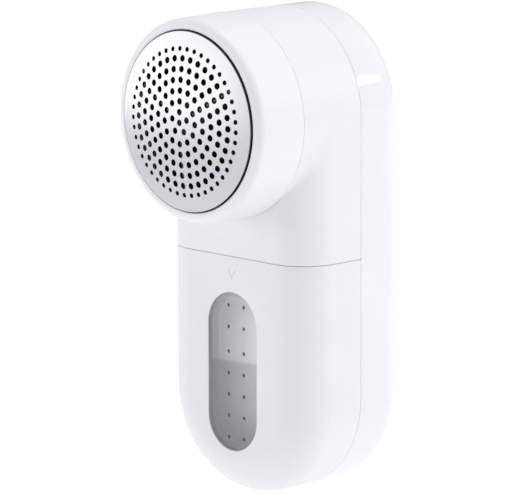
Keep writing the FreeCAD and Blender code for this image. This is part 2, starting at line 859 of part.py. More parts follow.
def magnets():
    outer = "motor_radius - motor_sheet - shaft_clearance"
    pair = []
    for index, middle in enumerate((0.0, 180.0)):
        piece = sector(f"magnet_slice_{index}", "magnet_front", "magnet_rear", outer, "magnet_angle", middle)
        bore = rod(f"magnet_bore_{index}", "Y", AXIS, "0", "body_depth", "magnet_inner")
        pair.append(cut(f"magnet_{index}", piece, bore))
    node(group("magnet_pair", *pair), "motor_magnets", "head_centre")


def motor_fittings():
    sleeve = tube("damper_sleeve", "damper_front", "damper_rear", "motor_radius", "damper_radius")
    node(sleeve, "motor_damper", "head_centre")
    screw_set(
        "motor_screws", motor_screw_places(), "floor_front - screw_head_height", "motor_screw_end",
        "motor_screw_head", "motor_screw_radius", "head_centre",
    )
    tags = [
        box(
            f"terminal_{index}",
            (f"{sign}terminal_spread - terminal_half", "motor_cap_rear", "-terminal_drop"),
            (f"{sign}terminal_spread + terminal_half", "terminal_rear", "terminal_sheet - terminal_drop"),
        )
        for index, sign in enumerate(("-", ""))
    ]
    node(group("terminal_pair", *tags), "motor_terminals", "head_centre")


def lint_bin():
    below = half_space("below_split", "-body_radius", "split_height - split_gap")
    block = common("bin_block", front_block("bin_form", "0", "seam_depth - seam_gap"), below)
    room = front_block("bin_room", "wall", "2 * body_depth")
    under = half_space("under_roof", "-body_radius", "split_height - bin_roof")
    room_low = common("bin_room_low", room, under)
    window = obround("window_hole", "0", "-body_depth", "window_step + step_lap")
    rebate = obround("window_rebate", "window_gap + lens_lip", "window_step", "2 * wall")
    inlet = box(
        "lint_inlet",
        ("-duct_half_width", "duct_front", "split_height - 2 * bin_roof"),
        ("duct_half_width", "duct_rear", "2 * split_height"),
    )
    frame_side = "body_radius - frame_inset + slide_gap"
    frame_way = box(
        "frame_way",
        (f"-({frame_side})", "filter_rear + filter_gap", "split_height - 2 * bin_roof"),
        (frame_side, "body_depth", "head_centre"),
    )
    mark = profile_pad(
        "release_mark", "XZ_Plane",
        (
            ("-mark_width / 2", "mark_centre + mark_height / 2"),
            ("0", "mark_centre - mark_height / 2"),
            ("mark_width / 2", "mark_centre + mark_height / 2"),
        ),
        "-1", "mark_depth", True,
    )
    node(cut("bin", block, room_low, window, rebate, inlet, frame_way, mark), "lint_bin")


def obround(name, grow, front, rear):
    """The window's upright round-ended form, grown all round."""
    return stadium_slab(
        name, f"window_half_width + {grow}", "window_low", "window_high", front, rear
    )


def bin_window():
    lens = obround("lens_face", "-window_gap", "window_recess", "window_step + step_lap")
    rim = obround("lens_rim", "lens_lip", "window_step + window_gap", "window_rear")
    back = obround("lens_room", "-lens_lip", "window_step + 2 * step_lap", "2 * window_rear")
    node(cut("lens", fuse("lens_solid", lens, rim), back), "bin_window")


def filter_panel():
    inset = "body_radius - filter_inset"
    panel = stadium_slab("filter_block", inset, "foot_centre", "head_centre", "filter_front", "filter_rear")
    below = half_space("filter_limit", "-body_radius", "split_height - bin_roof - filter_roof_gap")
    low = common("filter_low", panel, below)
    vents = []
    pitch = SIZES["vent_pitch"]
    rows = [row * pitch for row in range(VENT_ROWS_BELOW)]
    first_above = rows[-1] + SIZES["vent_gap_pitch"]
    rows += [first_above + row * pitch for row in range(VENT_ROWS_ABOVE)]
    for row, rise in enumerate(rows):
        for column in range(-VENT_SIDE_COLUMNS, VENT_SIDE_COLUMNS + 1):
            place = (f"{column} * vent_pitch", f"vent_low + {rise}")
            label = f"vent_{row}_{column + VENT_SIDE_COLUMNS}"
            vents.append(rod(label, "Y", place, "0", "body_depth", "vent_radius"))
    punch = group("vents", *vents)
    node(cut("filter", low, punch), "bin_filter_panel")


def bin_gasket():
    low = "split_height - split_gap + gasket_gap"
    high = f"{low} + gasket_height"
    rim = box(
        "gasket_rim", ("-duct_half_width - duct_wall", "wall + gasket_inset", low),
        ("duct_half_width + duct_wall", "duct_rear + duct_wall", high),
    )
    way_high = ("duct_half_width", "duct_rear", "head_centre")
    way = box("gasket_way", ("-duct_half_width", "duct_front", "0"), way_high)
    node(cut("gasket", rim, way), "bin_gasket")


def inner_frame():
    radius = "body_radius - frame_inset"
    outer = stadium_slab("frame_outer", radius, "foot_centre", "head_centre", "frame_front", "frame_back")
    low = common("frame_block", outer, half_space("frame_limit", "-body_radius", "frame_top"))
    room = stadium_slab(
        "frame_room", f"{radius} - frame_wall", "foot_centre", "head_centre", "frame_front + frame_wall",
        "2 * body_depth",
    )
    below = half_space("frame_roof", "-body_radius", "frame_top - frame_wall")
    room_low = common("frame_room_low", room, below)
    shell = cut("frame_shell", low, room_low)
    bosses = [
        rod(f"frame_boss_{index}", "Y", place, "frame_front", "frame_back", "boss_radius")
        for index, place in enumerate(lower_screw_places())
    ]
    holes = []
    hole_radius = "screw_radius + screw_hole_room"
    well_radius = "screw_head_radius + screw_head_room"
    head_rear = "screw_head_front + screw_head_height"
    for index, place in enumerate(lower_screw_places()):
        holes.append(rod(f"frame_hole_{index}", "Y", place, "0", "body_depth", hole_radius))
        holes.append(rod(f"frame_well_{index}", "Y", place, "0", head_rear, well_radius))
    node(cut("frame", fuse("frame_solid", shell, *bosses), *holes), "inner_frame")


def battery():
    middle = ("0", "cell_depth")
    cell = rod("cell", "Z", middle, "cell_foot", "cell_foot + cell_length", "cell_radius")
    node(cell, "battery_cell")
    top = "cell_foot + cell_length"
    tabs = [
        box(
            f"tab_{index}", ("-tab_half_width", "cell_depth - tab_half_length", low),
            ("tab_half_width", "cell_depth + tab_half_length", f"{low} + tab_sheet"),
        )
        for index, low in enumerate(("cell_foot - tab_sheet", top))
    ]
    node(group("tabs", *tabs), "battery_tabs")
    pads = [
        box(
            f"foam_{index}", ("-foam_half_width", "cell_depth + cell_radius", height),
            ("foam_half_width", "body_depth - wall", f"{height} + foam_length"),
        )
        for index, height in enumerate(
            ("cell_foot + foam_inset", "cell_foot + cell_length - foam_inset - foam_length")
        )
    ]
    node(group("foam_pads", *pads), "battery_foam")


def boards():
    node(
        box(
            "main_board", ("-board_half_width", "board_front", "board_foot"),
            ("board_half_width", "board_rear", "board_top"),
        ),
        "control_board",
    )
    case = box(
        "switch_case", ("-switch_size / 2", "board_rear", "button_height - switch_size / 2"),
        ("switch_size / 2", "switch_rear", "button_height + switch_size / 2"),
    )
    middle = ("0", "button_height")
    room = "plunger_radius + plunger_gap"
    well = rod("switch_well", "Y", middle, "board_rear + switch_floor", "body_depth", room)
    node(cut("switch", case, well), "board_switch")
    node(
        box(
            "led_case", ("-led_half_width", "board_rear", "led_height - led_thickness"),
            ("led_half_width", "board_rear + led_thickness", "led_height + led_thickness"),
        ),
        "indicator_led",
    )
    pipe_front = "board_rear + led_thickness + pipe_gap"
    pipe = rod("pipe", "Y", ("0", "led_height"), pipe_front, "button_rear", "pipe_radius")
    node(pipe, "light_pipe")
    node(
        box(
            "small_board", ("-charge_board_half", "charge_board_front", "charge_board_foot"),
            ("charge_board_half", "charge_board_rear", "charge_board_top"),
        ),
        "charge_board",
    )
    shell = cut(
        "socket_shell", socket_block("socket_outer", "socket_foot", "socket_top", "0"),
        socket_block("socket_inner", "-wall", "socket_top - 2 * socket_sheet", "-socket_sheet"),
    )
    node(shell, "charge_socket")
    node(
        box(
            "tongue",
            ("-tongue_half_width", "socket_depth - tongue_half_depth", "socket_foot + tongue_recess"),
            ("tongue_half_width", "socket_depth + tongue_half_depth", "socket_top - 2 * socket_sheet"),
        ),
        "charge_tongue",
    )


def power_button():
    place = ("0", "button_height")
    cap = rod("button_cap", "Y", place, "button_flange_front", "button_rear", "button_radius")
    flange = rod("button_rim", "Y", place, "button_flange_front", "button_flange_rear", "button_flange")
    stem_front = "plunger_rear + button_touch"
    stem = rod("button_post", "Y", place, stem_front, "button_rear - wall / 2", "button_stem")
    dish = doc.addObject("Part::Sphere", "button_dish")
    bind(dish, Radius="4 * button_radius", Placement__Base__z="button_height")
    bind(dish, Placement__Base__y="button_rear + 4 * button_radius - button_dish")
    node(cut("button", fuse("button_solid", cap, flange, stem), dish), "power_button")
    plunger = rod("plunger", "Y", place, "switch_rear - wall / 2", "plunger_rear", "plunger_radius")
    node(plunger, "switch_plunger")


def lead(name, points, bend):
    """A round wire along straight runs joined by tangent arcs."""
    places = [Vector(*(number(text) for text in point)) for point in points]
    radius = number("wire_radius")
    edges = []
    start = places[0]
    for before, corner, after in zip(places, places[1:], places[2:]):
        inward = (before - corner).normalize()
        outward = (after - corner).normalize()
        first = corner + inward * bend
        last = corner + outward * bend
        middle = corner + (inward + outward) * bend * (1 - math.sqrt(0.5))
        edges.append(Part.LineSegment(start, first).toShape())
        edges.append(Part.Arc(first, middle, last).toShape())
        start = last
    edges.append(Part.LineSegment(start, places[-1]).toShape())
    along = (places[1] - places[0]).normalize()
    section = Part.Wire([Part.makeCircle(radius, places[0], along)])
    wire = doc.addObject("Part::Feature", name)
    wire.Shape = Part.Wire(edges).makePipeShell([section], True, True)
    length = sum(edge.Length for edge in edges)
    assert abs(wire.Shape.Volume - math.pi * radius**2 * length) < 0.01 * wire.Shape.Volume, name
    return wire


def leads():
    touch = "board_rear"
    motor_wires = [
        lead(
            f"motor_wire_{index}",
            (
                (f"{sign}terminal_spread", "terminal_rear - 0.6", "head_centre - 1.5"),
                (f"{sign}terminal_spread", "terminal_rear - 0.6", "board_top - 3"),
                (f"{sign}terminal_spread", touch, "board_top - 3"),
            ),
            1.0,
        )
        for index, sign in enumerate(("-", ""))
    ]
    node(group("motor_wires", *motor_wires), "motor_leads")
    top = "cell_foot + cell_length + tab_sheet"
    positive = lead(
        "cell_wire_high",
        (
            ("-2", "cell_depth + 1.4", top),
            ("-2", "cell_depth + 1.4", f"{top} + 3.5"),
            ("-2", "board_front", f"{top} + 3.5"),
        ),
        0.8,
    )
    negative = lead(
        "cell_wire_low",
        (
            ("2.5", "cell_depth - 2", "cell_foot - tab_sheet - wire_radius"),
            ("cell_radius + 1.4", "cell_depth - 2", "cell_foot - tab_sheet - wire_radius"),
            ("cell_radius + 1.4", "cell_depth - 2", "board_foot + 3"),
            ("cell_radius + 1.4", "board_front", "board_foot + 3"),
        ),
        1.5,
    )
    node(group("cell_wires", positive, negative), "battery_leads")
    charge_wires = [
        lead(
            f"charge_wire_{index}",
            (
                (f"{sign}6", "charge_board_rear", "charge_board_top - 2"),
                (f"{sign}6", "board_rear - 0.4", "charge_board_top - 2"),
                (f"{sign}11.5", "board_rear - 0.4", "charge_board_top - 2"),
                (f"{sign}11.5", "board_rear - 0.4", "board_foot"),
            ),
            0.9,
        )
        for index, sign in enumerate(("-", ""))
    ]
    node(group("charge_wires", *charge_wires), "charge_leads")


def case_fasteners():
    screw_set(
        "case_screws", lower_screw_places(), "screw_head_front", "screw_end",
        "screw_head_radius", "screw_radius",
    )
    screw_set(
        "chamber_screws", chamber_screw_places(), "floor_front - screw_head_height", "screw_end",
        "screw_head_radius", "screw_radius", "head_centre",
    )


def export_nodes():
    doc.recompute()
    for item in doc.Objects:
        faults = [state for state in item.State if state in ("Invalid", "Error")]
        if faults:
            raise RuntimeError(f"{item.Name} did not build: {faults}")
    os.makedirs("parts", exist_ok=True)
    for item in nodes:
        shape = item.Shape
        if shape.isNull() or not shape.isValid() or shape.Volume <= 0:
            raise RuntimeError(f"{item.Label} is not a valid solid")
        shape.exportStep(f"parts/{item.Label}.step")
        print(f"{item.Label}: {len(shape.Solids)} solid(s), {shape.Volume / 1000:.3f} cm3")


foil()
foil_frame()
foil_ring()
upper_housing()
blade_chamber()
back_cover()
blade_head()
blade_spring()
drive_parts()
motor()
bearings()
magnets()
motor_fittings()
lint_bin()
bin_window()
filter_panel()
bin_gasket()
inner_frame()
battery()
boards()
power_button()
leads()
case_fasteners()
export_nodes()
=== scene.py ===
import json
import math

import bmesh
import bpy
from mathutils import Matrix, Vector, geometry


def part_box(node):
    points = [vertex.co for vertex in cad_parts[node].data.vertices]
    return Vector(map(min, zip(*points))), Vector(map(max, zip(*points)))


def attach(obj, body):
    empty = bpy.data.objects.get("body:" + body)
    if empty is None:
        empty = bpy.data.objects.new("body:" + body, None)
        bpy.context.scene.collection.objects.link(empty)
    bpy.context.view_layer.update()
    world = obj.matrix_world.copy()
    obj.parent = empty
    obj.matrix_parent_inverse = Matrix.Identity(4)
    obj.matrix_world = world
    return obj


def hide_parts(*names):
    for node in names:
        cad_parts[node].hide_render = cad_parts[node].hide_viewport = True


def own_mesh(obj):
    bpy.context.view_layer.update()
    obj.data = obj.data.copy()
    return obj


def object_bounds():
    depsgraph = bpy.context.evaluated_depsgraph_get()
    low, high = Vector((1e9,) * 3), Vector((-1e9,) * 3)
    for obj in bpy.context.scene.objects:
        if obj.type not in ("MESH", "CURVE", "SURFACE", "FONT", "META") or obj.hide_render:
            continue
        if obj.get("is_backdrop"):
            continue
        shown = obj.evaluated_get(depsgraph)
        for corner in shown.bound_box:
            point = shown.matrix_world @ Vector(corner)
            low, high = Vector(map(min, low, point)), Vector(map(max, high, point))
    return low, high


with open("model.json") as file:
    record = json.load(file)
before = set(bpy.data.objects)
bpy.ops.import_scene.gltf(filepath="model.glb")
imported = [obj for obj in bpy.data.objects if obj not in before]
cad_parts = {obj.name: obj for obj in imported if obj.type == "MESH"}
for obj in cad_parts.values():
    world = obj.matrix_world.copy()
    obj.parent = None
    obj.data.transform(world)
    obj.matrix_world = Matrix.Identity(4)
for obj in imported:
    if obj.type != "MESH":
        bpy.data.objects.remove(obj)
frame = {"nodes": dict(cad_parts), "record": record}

MM = 0.001
low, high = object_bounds()

# ---------------------------------------------------------------- places read from the frame
foil_low, foil_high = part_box("foil")
cover_low, cover_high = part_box("back_cover")
bin_low, bin_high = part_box("lint_bin")
ring_low, ring_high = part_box("foil_ring")
housing_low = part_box("upper_housing")[0]
lens_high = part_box("bin_window")[1]
panel_low, panel_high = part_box("bin_filter_panel")
button_low, button_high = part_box("power_button")
pipe_low, pipe_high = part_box("light_pipe")
socket_low, socket_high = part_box("charge_socket")
spring_low, spring_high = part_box("blade_spring")
FRONT = bin_low.y  # the body's flat front face, where the drawing's depth starts


def depth(y):
    """Millimetres behind the body's front face."""
    return (y - FRONT) / MM


def height(z):
    """Millimetres above the body's foot."""
    return (z - low.z) / MM


def travel_of(joint_name):
    """How far a sliding joint goes, in metres."""
    joints = frame["record"]["behaviour"]["joints"]
    return next(joint["range_m"][1] for joint in joints if joint["name"] == joint_name)


# ---------------------------------------------------------------- the form, in millimetres
RADIUS = (cover_high.x - cover_low.x) / 2 / MM  # half the body's width, which rounds its head and foot
HEAD = height((foil_low.z + foil_high.z) / 2)  # the head's axis
FOOT = RADIUS  # the height of the round foot's centre
BACK = depth(cover_high.y)
CORNER = 11.8  # rounding of the front edges
BACK_CORNER = 7.75  # and of the back edges
WALL = 2.0
MOUTH = 27.35  # radius of the opening behind the foil ring
BLEND = 7.0  # how far the drum's foot runs out into the body
HEAD_STEPS = 120  # steps over half the head, from its foot to its crown
ROUND_STEPS = 96  # steps round the foot or the head in the other shells

# Parting lines: each shell's lip is softened, and reaches a little way into the CAD gap
SOFT = 0.2
SHUT = 0.06
SEAM_GAP = 0.06
SEAM_FRONT = depth(bin_high.y) + SHUT
SEAM_BACK = SEAM_FRONT + SEAM_GAP
SPLIT_LOW = height(bin_high.z) + SHUT
SPLIT_HIGH = height(housing_low.z) - SHUT

# The bin's window and release mark: heights of the window's two round ends and the mark's middle
WINDOW_RADIUS = 10.1
WINDOW_FOOT = 23.6
WINDOW_TOP = 50.8
REBATE_DEPTH = 1.4  # the step inside the opening, where the lens's rim sits
REBATE_WIDTH = 1.28
MARK_CENTRE = 66.3
MARK_DEPTH = 0.14

# The back's openings: heights of two, with their radii, and how far back the charging socket lies
BUTTON_HEIGHT = height((button_low.z + button_high.z) / 2)
BUTTON_HOLE = 6.55
PIPE_HEIGHT = height((pipe_low.z + pipe_high.z) / 2)
PIPE_HOLE = (pipe_high.x - pipe_low.x) / 2 / MM + 0.05
SOCKET_DEPTH = depth((socket_low.y + socket_high.y) / 2)

# The foil ring and the foil
RING_DEPTH = -depth(ring_low.y)
RING_REAR = -depth(ring_high.y) - SHUT
RING_REAR_RADIUS = (ring_high.x - ring_low.x) / 2 / MM
RING_BORE = 27.55
SHEET = 0.12  # the foil's thickness
CROWN = 3.41  # how far the foil's dome stands out of the ring at its middle
EDGE_RISE = 0.55  # and at its edge
FOIL_RADIUS = 26.05
SKIRT = 26.4  # radius of the foil's straight side
BOW = (CROWN - EDGE_RISE) / SKIRT**2
HOLE_EDGE = 0.04  # how far a hole's broken edge reaches
HOLE_STEPS = 20
FOIL_STEPS = 192
# Rings of holes: distance from the middle, how many, radius and the first one's turn
HOLE_RINGS = [(0.0, 1, 0.95, 90.0)]
HOLE_RINGS += [
    (distance, count, 0.95, 90.0)
    for distance, count in ((3.09, 5), (6.22, 12), (9.33, 18), (12.43, 24), (15.50, 30), (18.54, 36))
]
HOLE_RINGS.append((21.30, 45, 0.7, -90.0))

# The filter panel's vents
VENT_COLUMNS = (-12.9, -6.45, 0.0, 6.45, 12.9)
VENT_ROWS = (13.9, 20.4, 26.9, 33.4, 39.9, 47.4, 53.9)


# ---------------------------------------------------------------- materials
def new_material(name):
    """A material and its principled shader."""
    material = bpy.data.materials.new(name)
    material.use_nodes = True
    return material, material.node_tree.nodes["Principled BSDF"]


def add_node(material, kind, **inputs):
    node = material.node_tree.nodes.new(kind)
    for key, value in inputs.items():
        node.inputs[key.replace("_", " ")].default_value = value
    return node


def join(material, start, end):
    material.node_tree.links.new(start, end)


def position(material):
    """Object coordinates, which are the object's own frame in metres."""
    return add_node(material, "ShaderNodeTexCoord").outputs["Object"]


def noise(material, scale, detail=3.0, source=None):
    texture = add_node(material, "ShaderNodeTexNoise", Scale=scale, Detail=detail)
    join(material, source or position(material), texture.inputs["Vector"])
    return texture.outputs["Fac"]


def stretched(material, factors):
    """Object coordinates stretched along the axes."""
    node = add_node(material, "ShaderNodeMapping")
    node.inputs["Scale"].default_value = factors
    join(material, position(material), node.inputs["Vector"])
    return node.outputs["Vector"]


def ramp(material, source, stops):
    """A colour ramp through (position, colour) stops."""
    node = material.node_tree.nodes.new("ShaderNodeValToRGB")
    while len(node.color_ramp.elements) < len(stops):
        node.color_ramp.elements.new(0.5)
    for element, (place, colour) in zip(node.color_ramp.elements, stops):
        element.position = place
        element.color = (*colour, 1.0)
    join(material, source, node.inputs["Fac"])
    return node.outputs["Color"]


def grade(material, source, low_value, high_value, start=0.0, end=1.0):
    """A value between start and end stretched to a range."""
    node = add_node(material, "ShaderNodeMapRange")
    node.inputs["From Min"].default_value = start
    node.inputs["From Max"].default_value = end
    node.inputs["To Min"].default_value = low_value
    node.inputs["To Max"].default_value = high_value
    join(material, source, node.inputs["Value"])
    return node.outputs["Result"]


def bump(material, shader, source, strength, distance):
    node = add_node(material, "ShaderNodeBump", Strength=strength, Distance=distance)
    join(material, source, node.inputs["Height"])
    join(material, node.outputs["Normal"], shader.inputs["Normal"])


def tint(material, shader, source, colour, darkest, start, end):
    """Base colour that is a little darker where the source is low."""
    darker = tuple(channel * darkest for channel in colour)
    join(material, ramp(material, source, ((start, darker), (end, colour))), shader.inputs["Base Color"])


def gloss(material, shader, source, least, most):
    """Roughness that follows the source between two values."""
    join(material, grade(material, source, least, most), shader.inputs["Roughness"])


def moulded_plastic(name, colour, roughness):
    """Moulded plastic: faint tone drift, slight variation of gloss and a very fine moulding texture."""
    material, shader = new_material(name)
    tint(material, shader, noise(material, 60.0), colour, darkest=0.985, start=0.35, end=0.65)
    gloss(material, shader, noise(material, 900.0), roughness * 0.92, roughness * 1.08)
    bump(material, shader, noise(material, 9000.0, 2.0), strength=0.008, distance=0.00002)
    shader.inputs["IOR"].default_value = 1.47
    return material


def metal(name, colour, roughness):
    """Bare metal with a fine worked surface."""
    material, shader = new_material(name)
    tint(material, shader, noise(material, 200.0), colour, darkest=0.9, start=0.3, end=0.7)
    gloss(material, shader, noise(material, 3000.0), roughness * 0.8, roughness * 1.25)
    bump(material, shader, noise(material, 3000.0, 2.0), strength=0.05, distance=0.00001)
    shader.inputs["Metallic"].default_value = 1.0
    return material


def clear_plastic(name, colour, opacity):
    """Thin clear plastic: mostly see-through, with a faint tint and a gloss that drifts a little."""
    material, shader = new_material(name)
    tint(material, shader, noise(material, 40.0), colour, darkest=0.97, start=0.3, end=0.7)
    gloss(material, shader, noise(material, 500.0), 0.05, 0.08)
    cover = grade(material, noise(material, 90.0), opacity * 0.95, opacity * 1.05)
    join(material, cover, shader.inputs["Alpha"])
    shader.inputs["IOR"].default_value = 1.49
    return material


def panel_with_painted_shade_and_glow(name, upper, lower, edge):
    """Satin filter panel: its lower part is painted darker as painted shade, with a soft edge across, and the
    panel has a painted glow.
    """
    material, shader = new_material(name)
    slope, softness = -0.043, 0.0006
    place = add_node(material, "ShaderNodeVectorMath")
    place.operation = "DOT_PRODUCT"
    place.inputs[1].default_value = (slope, 0.0, 1.0)
    join(material, position(material), place.inputs[0])
    # painted shade: the tone steps from the lower colour to the upper across a soft edge, darker below
    rise = grade(material, place.outputs["Value"], 0.0, 1.0, edge - softness, edge + softness)
    tone = ramp(material, rise, ((0.0, lower), (1.0, upper)))
    mottle = ramp(material, noise(material, 150.0), ((0.3, (0.95, 0.95, 0.95)), (0.7, (1.0, 1.0, 1.0))))
    mix = material.node_tree.nodes.new("ShaderNodeMixRGB")
    mix.blend_type = "MULTIPLY"
    mix.inputs["Fac"].default_value = 1.0
    join(material, tone, mix.inputs["Color1"])
    join(material, mottle, mix.inputs["Color2"])
    join(material, mix.outputs["Color"], shader.inputs["Base Color"])
    gloss(material, shader, noise(material, 700.0), 0.36, 0.46)
    bump(material, shader, noise(material, 6000.0, 2.0), strength=0.04, distance=0.00002)
    join(material, mix.outputs["Color"], shader.inputs["Emission Color"])
    painted_glow = 0.12  # painted light: the panel glows a little, standing in for light that seeps through the white shell
    shader.inputs["Emission Strength"].default_value = painted_glow
    return material


def polished_sheet(name, colour, roughness):
    """Rolled and polished steel sheet: long faint rolling lines, small variation of polish."""
    material, shader = new_material(name)
    lines = noise(material, 1.0, 4.0, stretched(material, (250.0, 250.0, 7000.0)))
    tint(material, shader, lines, colour, darkest=0.93, start=0.25, end=0.75)
    gloss(material, shader, lines, roughness * 0.8, roughness * 1.2)
    bump(material, shader, lines, strength=0.03, distance=0.00001)
    shader.inputs["Metallic"].default_value = 1.0
    return material


white_shell = moulded_plastic("white_shell", (0.795, 0.795, 0.825), 0.45)
white_gloss = moulded_plastic("white_gloss", (0.81, 0.81, 0.83), 0.07)
ring_white = moulded_plastic("ring_white", (0.81, 0.81, 0.835), 0.48)
inner_dark = moulded_plastic("inner_dark", (0.012, 0.012, 0.014), 0.5)
inner_grey = moulded_plastic("inner_grey", (0.035, 0.035, 0.038), 0.5)
PAINTED_SHADE_LEVEL = 37.6  # the height of the painted shade's edge: the panel is painted darker below it
panel_grey = panel_with_painted_shade_and_glow("panel_grey", (0.9, 0.9, 0.91), (0.62, 0.61, 0.63), low.z + PAINTED_SHADE_LEVEL * MM)
steel = polished_sheet("foil_steel", (0.55, 0.55, 0.565), 0.32)
dark_steel = metal("dark_steel", (0.05, 0.05, 0.055), 0.35)
# near-black steel: painted shade, so that the blades behind the foil's holes read as shaded
blade_steel = metal("blade_steel", (0.07, 0.07, 0.075), 0.3)
motor_steel = metal("motor_steel", (0.55, 0.56, 0.58), 0.3)
brass = metal("brass", (0.75, 0.58, 0.3), 0.3)
ferrite = moulded_plastic("ferrite", (0.05, 0.05, 0.055), 0.6)
rubber = moulded_plastic("rubber", (0.05, 0.05, 0.052), 0.7)
board_green = moulded_plastic("board_green", (0.03, 0.16, 0.07), 0.3)
cell_blue = moulded_plastic("cell_blue", (0.06, 0.18, 0.4), 0.25)
wire_red = moulded_plastic("wire_red", (0.5, 0.03, 0.02), 0.4)
button_grey = moulded_plastic("button_grey", (0.55, 0.55, 0.57), 0.3)
window_clear = clear_plastic("window_clear", (0.8, 0.8, 0.82), 0.07)
window_edge = clear_plastic("window_edge", (0.4, 0.4, 0.42), 0.2)
# opaque grey for the lens's edge: painted shade, standing in for the shadowed side of the clear edge
window_painted_shade = moulded_plastic("window_painted_shade", (0.34, 0.34, 0.35), 0.4)

NODE_MATERIALS = {
    "foil": steel,
    # the head's insides (foil frame, blade chamber, blade hub) are near-black: painted shade, standing in for
    # the shadow inside the head
    "foil_frame": inner_dark,
    "foil_ring": ring_white,
    "upper_housing": white_shell,
    "lint_bin": white_shell,
    "back_cover": white_gloss,
    # painted shade: the chamber and hub are near-black for the shadow behind the foil
    "blade_chamber": inner_dark,
    "blade_hub": inner_dark,
    "blades": blade_steel,
    "blade_spring": motor_steel,
    "drive_coupler": inner_dark,
    "motor_shaft": motor_steel,
    "motor_armature": motor_steel,
    "motor_can": motor_steel,
    "motor_end_cap": inner_dark,
    "motor_bearings": brass,
    "motor_magnets": ferrite,
    "motor_damper": rubber,
    "motor_screws": motor_steel,
    "motor_terminals": brass,
    "bin_window": window_clear,
    "bin_filter_panel": panel_grey,
    "bin_gasket": rubber,
    "inner_frame": inner_grey,
    "battery_cell": cell_blue,
    "battery_tabs": motor_steel,
    "battery_foam": rubber,
    "control_board": board_green,
    "board_switch": inner_dark,
    "indicator_led": white_gloss,
    "light_pipe": window_clear,
    "charge_board": board_green,
    "charge_socket": motor_steel,
    "charge_tongue": inner_dark,
    "power_button": button_grey,
    "switch_plunger": inner_dark,
    "motor_leads": wire_red,
    "battery_leads": wire_red,
    "charge_leads": wire_red,
    "case_screws": motor_steel,
    "chamber_screws": motor_steel,
}
for name, material in NODE_MATERIALS.items():
    for slot in frame["nodes"][name].material_slots:
        slot.material = material


# ---------------------------------------------------------------- mesh building, in millimetres
def mesh_object(name, points, faces, angle=32.0):
    """A mesh object from points in the drawing's millimetres: across, back from the front face, up."""
    mesh = bpy.data.meshes.new(name)
    mesh.from_pydata([(x * MM, FRONT + y * MM, low.z + z * MM) for x, y, z in points], [], faces)
    piece = bpy.data.objects.new(name, mesh)
    bpy.context.scene.collection.objects.link(piece)
    tidy_mesh(piece, angle)
    return piece


def tidy_mesh(piece, angle=32.0):
    """Merge doubled points, drop faces with no area and set smooth shading with sharp creases."""
    nearest = 2e-6
    work = bmesh.new()
    work.from_mesh(piece.data)
    bmesh.ops.remove_doubles(work, verts=work.verts, dist=nearest)
    bmesh.ops.dissolve_degenerate(work, edges=work.edges, dist=nearest)
    bmesh.ops.recalc_face_normals(work, faces=work.faces)
    work.to_mesh(piece.data)
    work.free()
    piece.data.shade_smooth()
    piece.data.set_sharp_from_angle(angle=math.radians(angle))


def grid(points, faces, rows):
    """Add rows of points and the faces between them; returns the point numbers."""
    first = len(points)
    width = len(rows[0])
    for row in rows:
        points.extend(row)
    numbers = [[first + i * width + j for j in range(width)] for i in range(len(rows))]
    for upper, lower in zip(numbers, numbers[1:]):
        strip(faces, upper, lower)
    return numbers


def strip(faces, near, far):
    """Quads between two lines of point numbers."""
    for k in range(len(near) - 1):
        faces.append((near[k], near[k + 1], far[k + 1], far[k]))


def arc(centre, radius, start, end, count):
    """Points on an arc, angles in degrees."""
    angles = [math.radians(start + (end - start) * k / count) for k in range(count + 1)]
    return [(centre[0] + radius * math.cos(t), centre[1] + radius * math.sin(t)) for t in angles]


def quarter(count):
    """Turns from 0 to 90 degrees."""
    return [math.pi / 2 * k / count for k in range(count + 1)]


def soften(corners, count=6):
    """A closed outline from (across, up, radius) corners, each rounded by its radius."""
    path = []
    for k, (x, y, radius) in enumerate(corners):
        corner = Vector((x, y))
        if radius == 0:
            path.append((x, y))
            continue
        before = (Vector(corners[k - 1][:2]) - corner).normalized()
        after = (Vector(corners[(k + 1) % len(corners)][:2]) - corner).normalized()
        half = math.acos(max(-1.0, min(1.0, before.dot(after)))) / 2
        centre = corner + (before + after).normalized() * (radius / math.sin(half))
        first = corner + before * (radius / math.tan(half)) - centre
        last = corner + after * (radius / math.tan(half)) - centre
        turn = math.atan2(first.x * last.y - first.y * last.x, first.dot(last))
        for step in range(count + 1):
            cosine, sine = math.cos(turn * step / count), math.sin(turn * step / count)
            arm = (first.x * cosine - first.y * sine, first.x * sine + first.y * cosine)
            path.append((centre.x + arm[0], centre.y + arm[1]))
    return path


def lathe(name, profile, segments):
    """A closed (depth, radius) outline turned about the head's axis."""
    points, faces = [], []
    rows = []
    for k in range(segments + 1):
        turn = 2 * math.pi * k / segments
        rows.append([(r * math.cos(turn), y, HEAD + r * math.sin(turn)) for y, r in profile + profile[:1]])
    grid(points, faces, rows)
    return mesh_object(name, points, faces)


def obround(radius, foot, top, count=40):
    """An upright round-ended outline on the middle line, anticlockwise."""
    return arc((0.0, top), radius, 0, 180, count) + arc((0.0, foot), radius, 180, 360, count)


def flat_sheet(loops, keep):
    """Triangles between loops, kept where keep(across, up) is true: returns points and faces."""
    flat, edges = [], []
    for loop in loops:
        first = len(flat)
        flat.extend(Vector(p) for p in loop)
        edges.extend((first + k, first + (k + 1) % len(loop)) for k in range(len(loop)))
    result = geometry.delaunay_2d_cdt(flat, edges, [], 0, 1e-6)
    points = [(p.x, p.y) for p in result[0]]
    kept = []
    for face in result[2]:
        x = sum(points[i][0] for i in face) / len(face)
        z = sum(points[i][1] for i in face) / len(face)
        if keep(x, z):
            kept.append(tuple(face))
    return points, kept


def inside(loop, x, z):
    """Whether a point lies inside a closed loop."""
    hit = False
    for (x1, z1), (x2, z2) in zip(loop, loop[1:] + loop[:1]):
        if (z1 > z) != (z2 > z) and x < (x2 - x1) * (z - z1) / (z2 - z1) + x1:
            hit = not hit
    return hit


